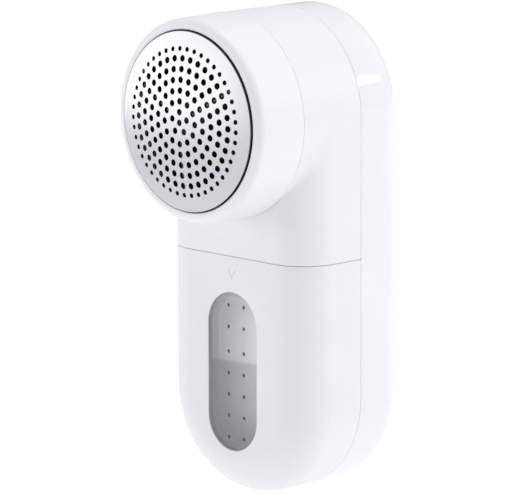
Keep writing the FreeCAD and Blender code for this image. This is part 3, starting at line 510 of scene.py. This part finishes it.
def prism(name, outer, holes, front, rear, edge=0.0):
    """A plate between two depths with holes through it and softened rims, from (across, up) loops."""
    steps = 3
    rims = [shrink(outer, edge)] + [shrink(hole, -edge) for hole in holes]

    def keep(x, z):
        return inside(rims[0], x, z) and not any(inside(hole, x, z) for hole in rims[1:])

    points, faces = [], []
    flat, kept = flat_sheet(rims, keep)
    for level in (front, rear):
        add_sheet(points, faces, [(x, level, z) for x, z in flat], kept)
    for loop, sign in [(outer, 1)] + [(hole, -1) for hole in holes]:
        rows = []
        for start, back in ((front, 1), (rear, -1)):
            bends = quarter(steps)
            for t in bends if back > 0 else reversed(bends):
                ring = shrink(loop, sign * edge * (1 - math.sin(t)))
                y = start + back * edge * (1 - math.cos(t))
                rows.append([(x, y, z) for x, z in ring + ring[:1]])
        grid(points, faces, rows)
    return mesh_object(name, points, faces)


def add_sheet(points, faces, sheet, kept):
    """Add a sheet's points, and its faces by their place among them."""
    first = len(points)
    points.extend(sheet)
    faces.extend(tuple(first + i for i in face) for face in kept)


def shrink(loop, amount):
    """A closed anticlockwise loop moved inwards."""
    if amount == 0:
        return list(loop)
    moved = []
    size = len(loop)
    for k in range(size):
        before, here, after = Vector(loop[k - 1]), Vector(loop[k]), Vector(loop[(k + 1) % size])
        first, last = here - before, after - here
        if first.length < 1e-9:
            first = last
        if last.length < 1e-9:
            last = first
        one, two = first.normalized(), last.normalized()
        bend = max(0.2, 1 + one.dot(two))
        moved.append((here.x + amount * (-one.y - two.y) / bend, here.y + amount * (one.x + two.x) / bend))
    return moved


def carve(piece, cutter):
    """Cut one piece out of another, and remove the cutter."""
    modifier = piece.modifiers.new("cut", "BOOLEAN")
    modifier.object = cutter
    modifier.operation = "DIFFERENCE"
    modifier.solver = "EXACT"
    graph = bpy.context.evaluated_depsgraph_get()
    mesh = bpy.data.meshes.new_from_object(piece.evaluated_get(graph))
    piece.modifiers.clear()
    piece.data = mesh
    bpy.data.objects.remove(cutter)
    tidy_mesh(piece)


def finished(piece, material, body, slot, *nodes):
    """Give a piece its material and its body, and hide the nodes it stands for; the slot is not used."""
    piece.data.materials.clear()
    piece.data.materials.append(material)
    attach(piece, body)
    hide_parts(*nodes)


# ---------------------------------------------------------------- the body's outer form
def edge_steps():
    """(back from the edge, inwards) pairs round a softened edge, from its face to the edge's own plane."""
    return [(SOFT * (1 - math.sin(t)), SOFT * (1 - math.cos(t))) for t in quarter(4)]


def slice_outline(chord, inset, blend):
    """A level outline of one side: from the head's rim, or the middle of the front, back to the seam."""
    side = RADIUS - inset
    corner_x = RADIUS - CORNER
    corner = CORNER - inset
    dense = 64
    if chord <= corner_x:
        path = [(chord + (corner_x - chord) * k / dense, inset) for k in range(dense)]
        path += arc((corner_x, CORNER), corner, -90, 0, dense)
    else:
        valley = -math.acos(min(1.0, (chord - corner_x) / corner))
        meeting = CORNER + corner * math.sin(valley)
        reach = min(blend, 0.97 * (meeting - inset), -0.9 * valley * corner)  # stays on the corner
        start_y = meeting - reach
        end_angle = valley + reach / corner
        end = (corner_x + corner * math.cos(end_angle), CORNER + corner * math.sin(end_angle))
        pull = 0.75 * reach  # how hard the blend hugs its two tangents
        bends = (
            (chord, start_y), (chord, start_y + pull),
            (end[0] + math.sin(end_angle) * pull, end[1] - math.cos(end_angle) * pull), end,
        )
        path = [(chord, inset + (start_y - inset) * k / dense) for k in range(dense)]
        for k in range(dense):
            t = k / dense
            weights = ((1 - t) ** 3, 3 * t * (1 - t) ** 2, 3 * t * t * (1 - t), t**3)
            path.append(tuple(sum(w * p[axis] for w, p in zip(weights, bends)) for axis in (0, 1)))
        path += arc((corner_x, CORNER), corner, math.degrees(end_angle), 0, dense)
    return path + [(side, SEAM_FRONT)]


def along_rays(path, count, stop):
    """Points where evenly turned rays from the middle of the seam cross an outline."""
    angles = [math.atan2(stop - y, x) if x > 1e-9 else math.pi / 2 for x, y in path]
    found = []
    k = 0
    for step in range(count + 1):
        want = angles[0] * (1 - step / count)
        while k < len(path) - 2 and angles[k + 1] > want:
            k += 1
        span = angles[k] - angles[k + 1]
        t = min(1.0, max(0.0, (angles[k] - want) / span)) if abs(span) > 1e-12 else 0.0
        found.append(tuple(path[k][i] + (path[k + 1][i] - path[k][i]) * t for i in (0, 1)))
    return found


def housing_rows(inset, blend, soft_edges):
    """Rows over the upper housing's right half, from the split up over the head."""
    count, below = 48, 8
    reach = RADIUS - inset
    stop = SEAM_FRONT - SOFT
    foot = HEAD - reach
    bottom = SPLIT_HIGH + SOFT
    levels = [(bottom + (foot - bottom) * k / below, 0.0, -math.pi / 2) for k in range(below)]
    for k in range(HEAD_STEPS + 1):
        turn = -math.pi / 2 + math.pi * k / HEAD_STEPS
        levels.append((HEAD + reach * math.sin(turn), max(0.0, reach * math.cos(turn)), turn))
    rows = []
    for z, chord, turn in levels:
        if turn < 0:
            side = along_rays(slice_outline(chord, inset, blend), count, stop)
            outward = (1.0, 0.0)
        else:
            first = math.atan2(stop - inset, reach)
            side = [(chord, stop - reach * math.tan(first * (1 - k / count))) for k in range(count + 1)]
            outward = (math.cos(turn), math.sin(turn))
        row = [(x, y, z) for x, y in side]
        for back, inward in edge_steps()[1:]:
            drop = inward if soft_edges else 0.0
            row.append((side[-1][0] - outward[0] * drop, SEAM_FRONT - back, z - outward[1] * drop))
        rows.append(row)
    base = rows[0]
    for back, inward in edge_steps()[1:]:
        drop = inward if soft_edges else 0.0
        rows.insert(0, [moved_in(base, k, drop, SPLIT_HIGH + back) for k in range(len(base))])
    return rows


def moved_in(line, k, drop, z):
    """A point of a level line moved inwards, at a new height."""
    before, after = line[max(0, k - 1)], line[min(len(line) - 1, k + 1)]
    across, back = after[0] - before[0], after[1] - before[1]
    size = math.hypot(across, back) or 1.0
    return (line[k][0] - drop * back / size, line[k][1] + drop * across / size, z)


def upper_housing():
    """The upper shell: a rounded slab that blends into the head's drum, open at the head and the back."""
    points, faces = [], []
    outer = housing_rows(0.0, BLEND, True)
    inner = housing_rows(WALL, BLEND - WALL, False)
    for sign in (1, -1):
        skins = []
        for rows in (outer, inner):
            skins.append(grid(points, faces, [[(sign * x, y, z) for x, y, z in row] for row in rows]))
        skin, lining = skins
        strip(faces, [row[-1] for row in skin], [row[-1] for row in lining])
        strip(faces, skin[0], lining[0])
        turns = [-math.pi / 2 + math.pi * k / HEAD_STEPS for k in range(HEAD_STEPS + 1)]
        edge = [row[0] for row in skin[-len(turns):]]
        edge_inner = [row[0] for row in lining[-len(turns):]]
        mouth = []
        for y in (0.0, WALL):
            first = len(points)
            points.extend((sign * MOUTH * math.cos(t), y, HEAD + MOUTH * math.sin(t)) for t in turns)
            mouth.append(list(range(first, first + len(turns))))
        strip(faces, edge, mouth[0])
        strip(faces, mouth[0], mouth[1])
        strip(faces, mouth[1], edge_inner)
    piece = mesh_object("upper_housing_shell", points, faces)
    finished(piece, white_shell, "body", "housing_white", "upper_housing")


def sweep_rows(profile, path):
    """Rows of points: each path point (height, direction across, direction up) carries the whole profile."""
    return [
        [((RADIUS - inward) * across, y, middle + (RADIUS - inward) * up) for y, inward in profile]
        for middle, across, up in path
    ]


def half_turn():
    """Turns from 0 to 180 degrees."""
    return [math.pi * k / ROUND_STEPS for k in range(ROUND_STEPS + 1)]


def foot_path(top):
    """Down the right side from a height, round the foot and up the left side."""
    straight = 10
    path = [(top + (FOOT - top) * k / straight, 1.0, 0.0) for k in range(straight)]
    path += [(FOOT, math.cos(t), -math.sin(t)) for t in half_turn()]
    path += [(FOOT + (top - FOOT) * k / straight, -1.0, 0.0) for k in range(1, straight + 1)]
    return path


def mark_outline():
    """The release mark: two fine strokes that meet below, as a closed loop."""
    wide, tall, stroke = 1.75, 1.45, 0.42
    top, bottom = MARK_CENTRE + tall, MARK_CENTRE - tall
    return [
        (-wide, top), (0.0, bottom), (wide, top),
        (wide - stroke, top), (0.0, bottom + 2 * stroke), (-wide + stroke, top),
    ]


def flat_wall(points, faces, y, loop, holes):
    """A flat wall inside an outline, with holes through it."""
    def keep(x, z):
        return inside(loop, x, z) and not any(inside(hole, x, z) for hole in holes)

    flat, kept = flat_sheet([loop] + holes, keep)
    add_sheet(points, faces, [(x, y, z) for x, z in flat], kept)


def lint_bin():
    """The lower shell: rounded foot, window opening with a softened rim, engraved release mark and a roof."""
    points, faces = [], []
    outer_profile = [(CORNER - CORNER * math.cos(t), CORNER - CORNER * math.sin(t)) for t in quarter(32)]
    outer_profile += [(CORNER + (SEAM_FRONT - SOFT - CORNER) * k / 4, 0.0) for k in range(1, 4)]
    outer_profile += [(SEAM_FRONT - back, inward) for back, inward in edge_steps()]
    inner_corner = CORNER - WALL
    inner_profile = [
        (CORNER - inner_corner * math.cos(t), CORNER - inner_corner * math.sin(t)) for t in quarter(32)
    ]
    inner_profile += [(CORNER + (SEAM_FRONT - CORNER) * k / 8, WALL) for k in range(1, 9)]
    top = SPLIT_LOW - SOFT
    outer = sweep_rows(outer_profile, foot_path(top))
    inner = sweep_rows(inner_profile, foot_path(SPLIT_LOW))
    skin = grid(points, faces, outer)
    lining = grid(points, faces, inner)
    strip(faces, [row[-1] for row in skin], [row[-1] for row in lining])
    rim = []
    for sign, base in ((1, outer[0]), (-1, outer[-1])):
        right = [(abs(x), y, z) for x, y, z in base]
        lines = []
        for back, inward in edge_steps():
            run = [(0.0, 0.0, 0.0)] + right
            line = [moved_in(run, k, inward, SPLIT_LOW - back) for k in range(1, len(run))]
            lines.append([(sign * x, y, z) for x, y, z in line])
        rim.append(grid(points, faces, lines))
    strip(faces, rim[0][-1], lining[0])
    strip(faces, rim[1][-1], lining[-1])
    flat_x = RADIUS - CORNER
    grid(points, faces, [
        [(x, inward, SPLIT_LOW - back) for x in (-flat_x, flat_x)] for back, inward in edge_steps()
    ])
    loop = [(flat_x, top)] + [(-flat_x, top)] + arc((0.0, FOOT), flat_x, 180, 360, ROUND_STEPS)
    window = obround(WINDOW_RADIUS, WINDOW_FOOT, WINDOW_TOP)
    rim_soft = 0.15
    mark = mark_outline()
    flat_wall(points, faces, 0.0, loop, [shrink(window, -rim_soft), mark])
    flat_wall(points, faces, MARK_DEPTH, mark, [])
    grid(points, faces, [[(x, y, z) for x, z in mark + mark[:1]] for y in (0.0, MARK_DEPTH)])
    rows = []
    for t in quarter(4):
        ring = shrink(window, -rim_soft * (1 - math.sin(t)))
        rows.append([(x, rim_soft * (1 - math.cos(t)), z) for x, z in ring + ring[:1]])
    wide = obround(WINDOW_RADIUS + REBATE_WIDTH, WINDOW_FOOT, WINDOW_TOP)
    rows.append([(x, REBATE_DEPTH, z) for x, z in window + window[:1]])
    rows.append([(x, REBATE_DEPTH, z) for x, z in wide + wide[:1]])
    rows.append([(x, WALL, z) for x, z in wide + wide[:1]])
    grid(points, faces, rows)
    inner_loop = [(flat_x, SPLIT_LOW), (-flat_x, SPLIT_LOW)] + arc((0.0, FOOT), flat_x, 180, 360, ROUND_STEPS)
    flat_wall(points, faces, WALL, inner_loop, [wide])
    grid(points, faces, [[(x, y, SPLIT_LOW) for x in (-flat_x, flat_x)] for y in (SOFT, WALL)])
    piece = mesh_object("lint_bin_shell", points, faces)
    finished(piece, white_shell, "lint_bin", "housing_white", "lint_bin")
    roof()


def roof():
    """The bin's roof with the inlet that meets the lint duct."""
    roof_rear, roof_levels = 12.4, (SPLIT_LOW - 1.6, SPLIT_LOW - 0.02)
    half, front, rear, rounding = 11.0, 3.5, 10.8, 0.6
    inner_corner = CORNER - WALL
    corner_x = RADIUS - CORNER
    side = arc((corner_x, CORNER), inner_corner, -90, 0, 24)
    left_side = [(-x, y) for x, y in reversed(side)]
    outline = side + [(RADIUS - WALL, roof_rear), (WALL - RADIUS, roof_rear)] + left_side
    corners = ((-half, front), (half, front), (half, rear), (-half, rear))
    inlet = soften([(x, y, rounding) for x, y in corners])
    points, faces = [], []
    flat, kept = flat_sheet([outline, inlet], lambda x, y: inside(outline, x, y) and not inside(inlet, x, y))
    for z in roof_levels:
        add_sheet(points, faces, [(x, y, z) for x, y in flat], kept)
    for loop in (outline, inlet):
        grid(points, faces, [[(x, y, z) for x, y in loop + loop[:1]] for z in roof_levels])
    piece = mesh_object("lint_bin_roof", points, faces)
    finished(piece, white_shell, "lint_bin", "housing_white", "lint_bin")


def back_cover():
    """The back shell: a rounded tray, its seam edge softened, with the button, light and socket openings."""
    points, faces = [], []
    straight = 16
    loop_path = [(FOOT + (HEAD - FOOT) * k / straight, 1.0, 0.0) for k in range(straight)]
    loop_path += [(HEAD, math.cos(t), math.sin(t)) for t in half_turn()]
    loop_path += [(HEAD + (FOOT - HEAD) * k / straight, -1.0, 0.0) for k in range(1, straight)]
    loop_path += [(FOOT, -math.cos(t), -math.sin(t)) for t in half_turn()]
    centre = BACK - BACK_CORNER
    profile = [(SEAM_BACK + back, inward) for back, inward in reversed(edge_steps())]
    profile += [(SEAM_BACK + SOFT + (centre - SEAM_BACK - SOFT) * k / 5, 0.0) for k in range(1, 6)]
    bend = [
        (centre + BACK_CORNER * math.sin(t), BACK_CORNER - BACK_CORNER * math.cos(t))
        for t in quarter(24)[1:]
    ]
    inner_corner = BACK_CORNER - WALL
    inner = [(SEAM_BACK, WALL), (centre, WALL)]
    inner += [
        (centre + inner_corner * math.sin(t), BACK_CORNER - inner_corner * math.cos(t))
        for t in quarter(16)[1:]
    ]
    skin = grid(points, faces, sweep_rows(profile + bend, loop_path))
    lining = grid(points, faces, sweep_rows(inner, loop_path))
    strip(faces, [row[0] for row in skin], [row[0] for row in lining])
    flat = RADIUS - BACK_CORNER
    loop = obround(flat, FOOT, HEAD, ROUND_STEPS)
    button = arc((0.0, BUTTON_HEIGHT), BUTTON_HOLE, 0, 360, 64)[:-1]
    pipe = arc((0.0, PIPE_HEIGHT), PIPE_HOLE, 0, 360, 32)[:-1]
    edge = 0.25
    flat_wall(points, faces, BACK, loop, [shrink(button, -edge), pipe])
    flat_wall(points, faces, BACK - WALL, loop, [button, pipe])
    rows = []
    for t in quarter(4):
        ring = shrink(button, -edge * (1 - math.sin(t)))
        rows.append([(x, BACK - edge * (1 - math.cos(t)), z) for x, z in ring + ring[:1]])
    rows.append([(x, BACK - WALL, z) for x, z in button + button[:1]])
    grid(points, faces, rows)
    grid(points, faces, [[(x, y, z) for x, z in pipe + pipe[:1]] for y in (BACK, BACK - WALL)])
    piece = mesh_object("back_cover_shell", points, faces)
    carve(piece, socket_cutter())
    finished(piece, white_gloss, "body", "cover_white", "back_cover")


def socket_cutter():
    """A round-ended bar along Z, as wide as the charging socket with room round it."""
    room, ends_at = 0.3, (-3.0, 6.0)
    reach = (socket_high.x - socket_low.x) / 2 / MM + room
    side = (socket_high.y - socket_low.y) / 2 / MM + room
    middle = reach - side
    ends = arc((middle, SOCKET_DEPTH), side, -90, 90, 16) + arc((-middle, SOCKET_DEPTH), side, 90, 270, 16)
    points, faces = [], []
    grid(points, faces, [[(x, y, z) for x, y in ends + ends[:1]] for z in ends_at])
    for z in ends_at:
        first = len(points)
        points.extend((x, y, z) for x, y in ends)
        faces.append(tuple(range(first, first + len(ends))))
    return mesh_object("socket_cutter", points, faces)


def foil_ring():
    """The screw-off ring: a slightly drafted side, a broad rounded front edge, a fine lip and three lugs."""
    front_radius, front_round, mouth, lip_depth = 29.75, 2.35, 26.6, 1.0
    profile = soften(
        [
            (-RING_REAR, RING_BORE, 0.0),
            (-RING_REAR, RING_REAR_RADIUS, 0.15),
            (-RING_DEPTH, front_radius, front_round),
            (-RING_DEPTH, mouth, 0.25),
            (-RING_DEPTH + lip_depth, mouth, 0.0),
            (-RING_DEPTH + lip_depth, RING_BORE, 0.3),
        ],
        12,
    )
    finished(lathe("foil_ring_shell", profile, 256), ring_white, "foil_ring", "ring_white", "foil_ring")
    for index, middle in enumerate((-30.0, -150.0, -270.0)):
        foil_ring_lug(index, middle)


def foil_ring_lug(index, middle):
    """One of the ring's three bayonet lugs, with its middle at an angle."""
    front, rear, tip, half, count = -5.0, -3.0, 26.25, 8.0, 12
    corners = [(front, RING_BORE, 0.0), (front, tip, 0.25), (rear, tip, 0.25), (rear, RING_BORE, 0.0)]
    section = soften(corners, 4)
    rows = []
    for k in range(count + 1):
        t = math.radians(middle - half + 2 * half * k / count)
        rows.append([(r * math.cos(t), y, HEAD + r * math.sin(t)) for y, r in section + section[:1]])
    points, faces = [], []
    grid(points, faces, rows)
    width = len(rows[0])
    faces.append(tuple(range(width - 1)))
    faces.append(tuple(range(count * width, (count + 1) * width - 1)))
    lug = mesh_object(f"foil_ring_lug_{index}", points, faces)
    finished(lug, ring_white, "foil_ring", "ring_white", "foil_ring")


def rise(x, z):
    """How far forward the foil's dome stands, at a place across and above its middle."""
    return RING_DEPTH + CROWN - BOW * (x * x + z * z)


def shade_as_dome(mesh):
    """Give the sheet between the holes the dome's exact normals, so that it reflects without facets."""
    along_sheet = 0.95  # how closely a face has to follow the dome
    normals = [Vector(corner.vector) for corner in mesh.corner_normals]
    for face in mesh.polygons:
        for index in face.loop_indices:
            point = mesh.vertices[mesh.loops[index].vertex_index].co
            across, up = point.x / MM, height(point.z) - HEAD
            exact = Vector((2 * BOW * across, -1.0, 2 * BOW * up)).normalized()
            facing = face.normal.dot(exact)
            if abs(facing) > along_sheet:
                normals[index] = exact * (1 if facing > 0 else -1)
    mesh.normals_split_custom_set(normals)


def foil():
    """The foil: a shallow dome of thin sheet with real punched holes, and the skirt that holds it."""
    holes = []
    for distance, count, radius, first in HOLE_RINGS:
        for k in range(count):
            turn = math.radians(first) + 2 * math.pi * k / count
            holes.append((distance * math.cos(turn), distance * math.sin(turn), radius))
    rings = [arc((0.0, 0.0), r, 0, 360, 144)[:-1] for r in (22.9, 24.0, 25.1)]  # where there are no holes
    edge = arc((0.0, 0.0), FOIL_RADIUS, 0, 360, FOIL_STEPS)[:-1]
    points, faces = [], []
    for back, grow in ((0.0, HOLE_EDGE), (SHEET, 0.0)):
        loops = [arc((x, z), r + grow, 0, 360, HOLE_STEPS)[:-1] for x, z, r in holes]

        def keep(x, z):
            own = 0.985  # a hole's polygon lies a little inside its circle
            return all(math.hypot(x - hx, z - hz) > own * (r + grow) for hx, hz, r in holes)

        flat, kept = flat_sheet([edge] + rings + loops, keep)
        add_sheet(points, faces, [(x, -rise(x, z) + back, HEAD + z) for x, z in flat], kept)
    for hx, hz, r in holes:
        rows = []
        for grow, back in ((HOLE_EDGE, 0.0), (0.0, HOLE_EDGE), (0.0, SHEET)):
            ring = arc((hx, hz), r + grow, 0, 360, HOLE_STEPS)
            rows.append([(x, -rise(x, z) + back, HEAD + z) for x, z in ring])
        grid(points, faces, rows)
    rim = -rise(FOIL_RADIUS, 0.0)
    turned = ((0.0, 0.0), (0.03, 0.1), (0.1, 0.18), (SHEET, 0.18), (SHEET, 0.0))  # the edge, back and out
    lip = [(rim + back, FOIL_RADIUS + out) for back, out in turned]
    grid(points, faces, [
        [(r * math.cos(t), y, HEAD + r * math.sin(t)) for y, r in lip]
        for t in (2 * math.pi * k / FOIL_STEPS for k in range(FOIL_STEPS + 1))
    ])
    piece = mesh_object("foil_dome", points, faces, 25.0)
    shade_as_dome(piece.data)
    finished(piece, steel, "foil_set", "foil_steel", "foil")
    foil_skirt(rim + SHEET)


def foil_skirt(front):
    """The foil's dark skirt and flange, behind the dome."""
    flange, flange_front = 27.2, -16.3
    side = soften([
        (front, FOIL_RADIUS, 0.0),
        (front, SKIRT, 0.1),
        (flange_front, SKIRT, 0.0),
        (flange_front, flange, 0.0),
        (flange_front + SHEET, flange, 0.0),
        (flange_front + SHEET, FOIL_RADIUS, 0.0),
    ])
    finished(lathe("foil_skirt", side, FOIL_STEPS), dark_steel, "foil_set", "foil_steel", "foil")


def window():
    """The clear lens: a flat face set just behind the front, its edge as an opaque grey sleeve of painted
    shade, and its hidden rim.
    """
    def outline(grow):
        return obround(WINDOW_RADIUS + grow, WINDOW_FOOT, WINDOW_TOP, 48)

    # an opaque grey sleeve inside the opening: painted shade for the lens's shadowed edge
    edge = prism("window_edge", outline(-0.02), [outline(-0.12)], 0.2, REBATE_DEPTH + 0.02)
    lens = prism("window_lens", outline(-0.14), [], 0.15, REBATE_DEPTH + 0.05, 0.1)
    rim = prism("window_rim", outline(1.2), [outline(-1.2)], REBATE_DEPTH + 0.08, depth(lens_high.y), 0.1)
    for piece, material in ((edge, window_painted_shade), (lens, window_clear), (rim, window_edge)):
        finished(piece, material, "lint_bin", "window_clear", "bin_window")


def filter_panel():
    """The filter panel: a light satin face with vent holes, on a dark backing that has them too."""
    room, face = 0.08, 0.3
    side = RADIUS - WALL - room
    top = height(panel_high.z)
    outline = [(side, top), (-side, top)] + arc((0.0, FOOT), side, 180, 360, 72)
    front, rear = depth(panel_low.y), depth(panel_high.y)
    middle = front + face
    layers = (
        ("filter_face", front, middle, 0.64, panel_grey),
        ("filter_backing", middle, rear, 0.56, inner_dark),
    )
    for name, start, end, radius, material in layers:
        vents = [arc((x, z), radius, 0, 360, 16)[:-1] for x in VENT_COLUMNS for z in VENT_ROWS]
        piece = prism(name, outline, vents, start, end)
        finished(piece, material, "lint_bin", "panel_grey", "bin_filter_panel")


def blade_spring():
    """The spring behind the blades: a wound wire."""
    wire, turns, around, steps = 0.25, 4, 10, 32
    radius = (spring_high.x - spring_low.x) / 2 / MM - wire
    start, end = depth(spring_low.y) + wire, depth(spring_high.y) - wire
    rows = []
    for k in range(turns * steps + 1):
        turn = 2 * math.pi * k / steps
        middle = start + (end - start) * k / (turns * steps)
        rows.append([
            ((radius + across) * math.cos(turn), middle + back, HEAD + (radius + across) * math.sin(turn))
            for across, back in arc((0.0, 0.0), wire, 0, 360, around)
        ])
    points, faces = [], []
    grid(points, faces, rows)
    faces.append(tuple(range(around)))
    faces.append(tuple(range(len(points) - around - 1, len(points) - 1)))
    piece = mesh_object("blade_spring_wire", points, faces, 60.0)
    finished(piece, motor_steel, "rotor", "spring_steel", "blade_spring")
    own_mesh(piece)


upper_housing()
lint_bin()
back_cover()
foil_ring()
foil()
blade_spring()
window()
filter_panel()


# ---------------------------------------------------------------- camera
AZIMUTH = math.radians(45.391)
ELEVATION = math.radians(10.434)
ROLL = math.radians(-0.158)
DISTANCE = 1.3375
SHIFT_RIGHT = -0.001597
SHIFT_UP = 0.001779
LENS = 312.35
TARGET = Vector((0.0, FRONT + 14.63 * MM, low.z + 70.7 * MM))


def make_camera():
    """The camera, from its turn round the object, its rise, its roll and its distance."""
    back = Vector((
        math.sin(AZIMUTH) * math.cos(ELEVATION),
        -math.cos(AZIMUTH) * math.cos(ELEVATION),
        math.sin(ELEVATION),
    ))
    right = Vector((math.cos(AZIMUTH), math.sin(AZIMUTH), 0.0))
    up = back.cross(right)
    rolled_right = right * math.cos(ROLL) + up * math.sin(ROLL)
    rolled_up = up * math.cos(ROLL) - right * math.sin(ROLL)
    camera = bpy.data.objects.new("camera", bpy.data.cameras.new("camera"))
    bpy.context.scene.collection.objects.link(camera)
    camera.data.lens = LENS
    camera.data.sensor_width = 36.0
    camera.data.clip_end = 10.0
    place = TARGET + back * DISTANCE + rolled_right * SHIFT_RIGHT + rolled_up * SHIFT_UP
    turn = Matrix((rolled_right, rolled_up, back)).transposed().to_4x4()
    camera.matrix_world = Matrix.Translation(place) @ turn
    bpy.context.scene.camera = camera


# ---------------------------------------------------------------- floor and light
def area_light(name, place, target, wide, tall, power):
    """A soft box, in metres, that faces a point and that the camera doesn't see."""
    data = bpy.data.lights.new(name, "AREA")
    data.energy = power
    data.shape = "RECTANGLE"
    data.size = wide
    data.size_y = tall
    light = bpy.data.objects.new(name, data)
    bpy.context.scene.collection.objects.link(light)
    light.location = place
    light.visible_camera = False
    light.rotation_euler = (Vector(target) - Vector(place)).to_track_quat("-Z", "Y").to_euler()


def make_floor():
    """A white floor that glows more the further it is from the lamps, so that it stays evenly white."""
    mesh = bpy.data.meshes.new("floor")
    reach = 3.0
    mesh.from_pydata(
        [(-reach, -reach, 0), (reach, -reach, 0), (reach, reach, 0), (-reach, reach, 0)], [], [(0, 1, 2, 3)]
    )
    floor = bpy.data.objects.new("floor", mesh)
    bpy.context.scene.collection.objects.link(floor)
    clearance = 0.01
    floor.location.z = low.z - travel_of("bin_slide") - clearance  # low enough for the bin to slide off
    floor_white = moulded_plastic("floor_white", (0.97, 0.97, 0.97), 0.9)
    shader = floor_white.node_tree.nodes["Principled BSDF"]
    shader.inputs["Emission Color"].default_value = (1.0, 1.0, 1.0, 1.0)
    away = add_node(floor_white, "ShaderNodeVectorMath")
    away.operation = "LENGTH"
    join(floor_white, position(floor_white), away.inputs[0])
    near, near_glow, far, far_glow = 0.2, 0.14, 1.5, 0.43
    glow = grade(floor_white, away.outputs["Value"], near_glow, far_glow, near, far)
    join(floor_white, glow, shader.inputs["Emission Strength"])
    floor.data.materials.append(floor_white)
    floor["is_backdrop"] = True


def make_light():
    """An even white surround, and three soft boxes: on the foil, on the back cover's side, and above."""
    world = bpy.data.worlds.new("world")
    bpy.context.scene.world = world
    world.use_nodes = True
    world.node_tree.nodes["Background"].inputs["Color"].default_value = (1.0, 1.0, 1.0, 1.0)
    world.node_tree.nodes["Background"].inputs["Strength"].default_value = 0.56
    area_light("front_softbox", (-0.42, -0.37, 0.16), (0, 0, 0.113), wide=0.7, tall=0.26, power=0.84)
    area_light("rear_softbox", (0.87, 0.443, 0.495), (0, 0, 0.1), wide=0.79, tall=0.11, power=3.4)
    area_light("top_softbox", (0.0, 0.1, 1.3), (0, 0, 0.1), wide=0.8, tall=0.8, power=6.4)
    bpy.context.scene.view_settings.view_transform = "Standard"


make_camera()
make_floor()
make_light()

low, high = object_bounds()
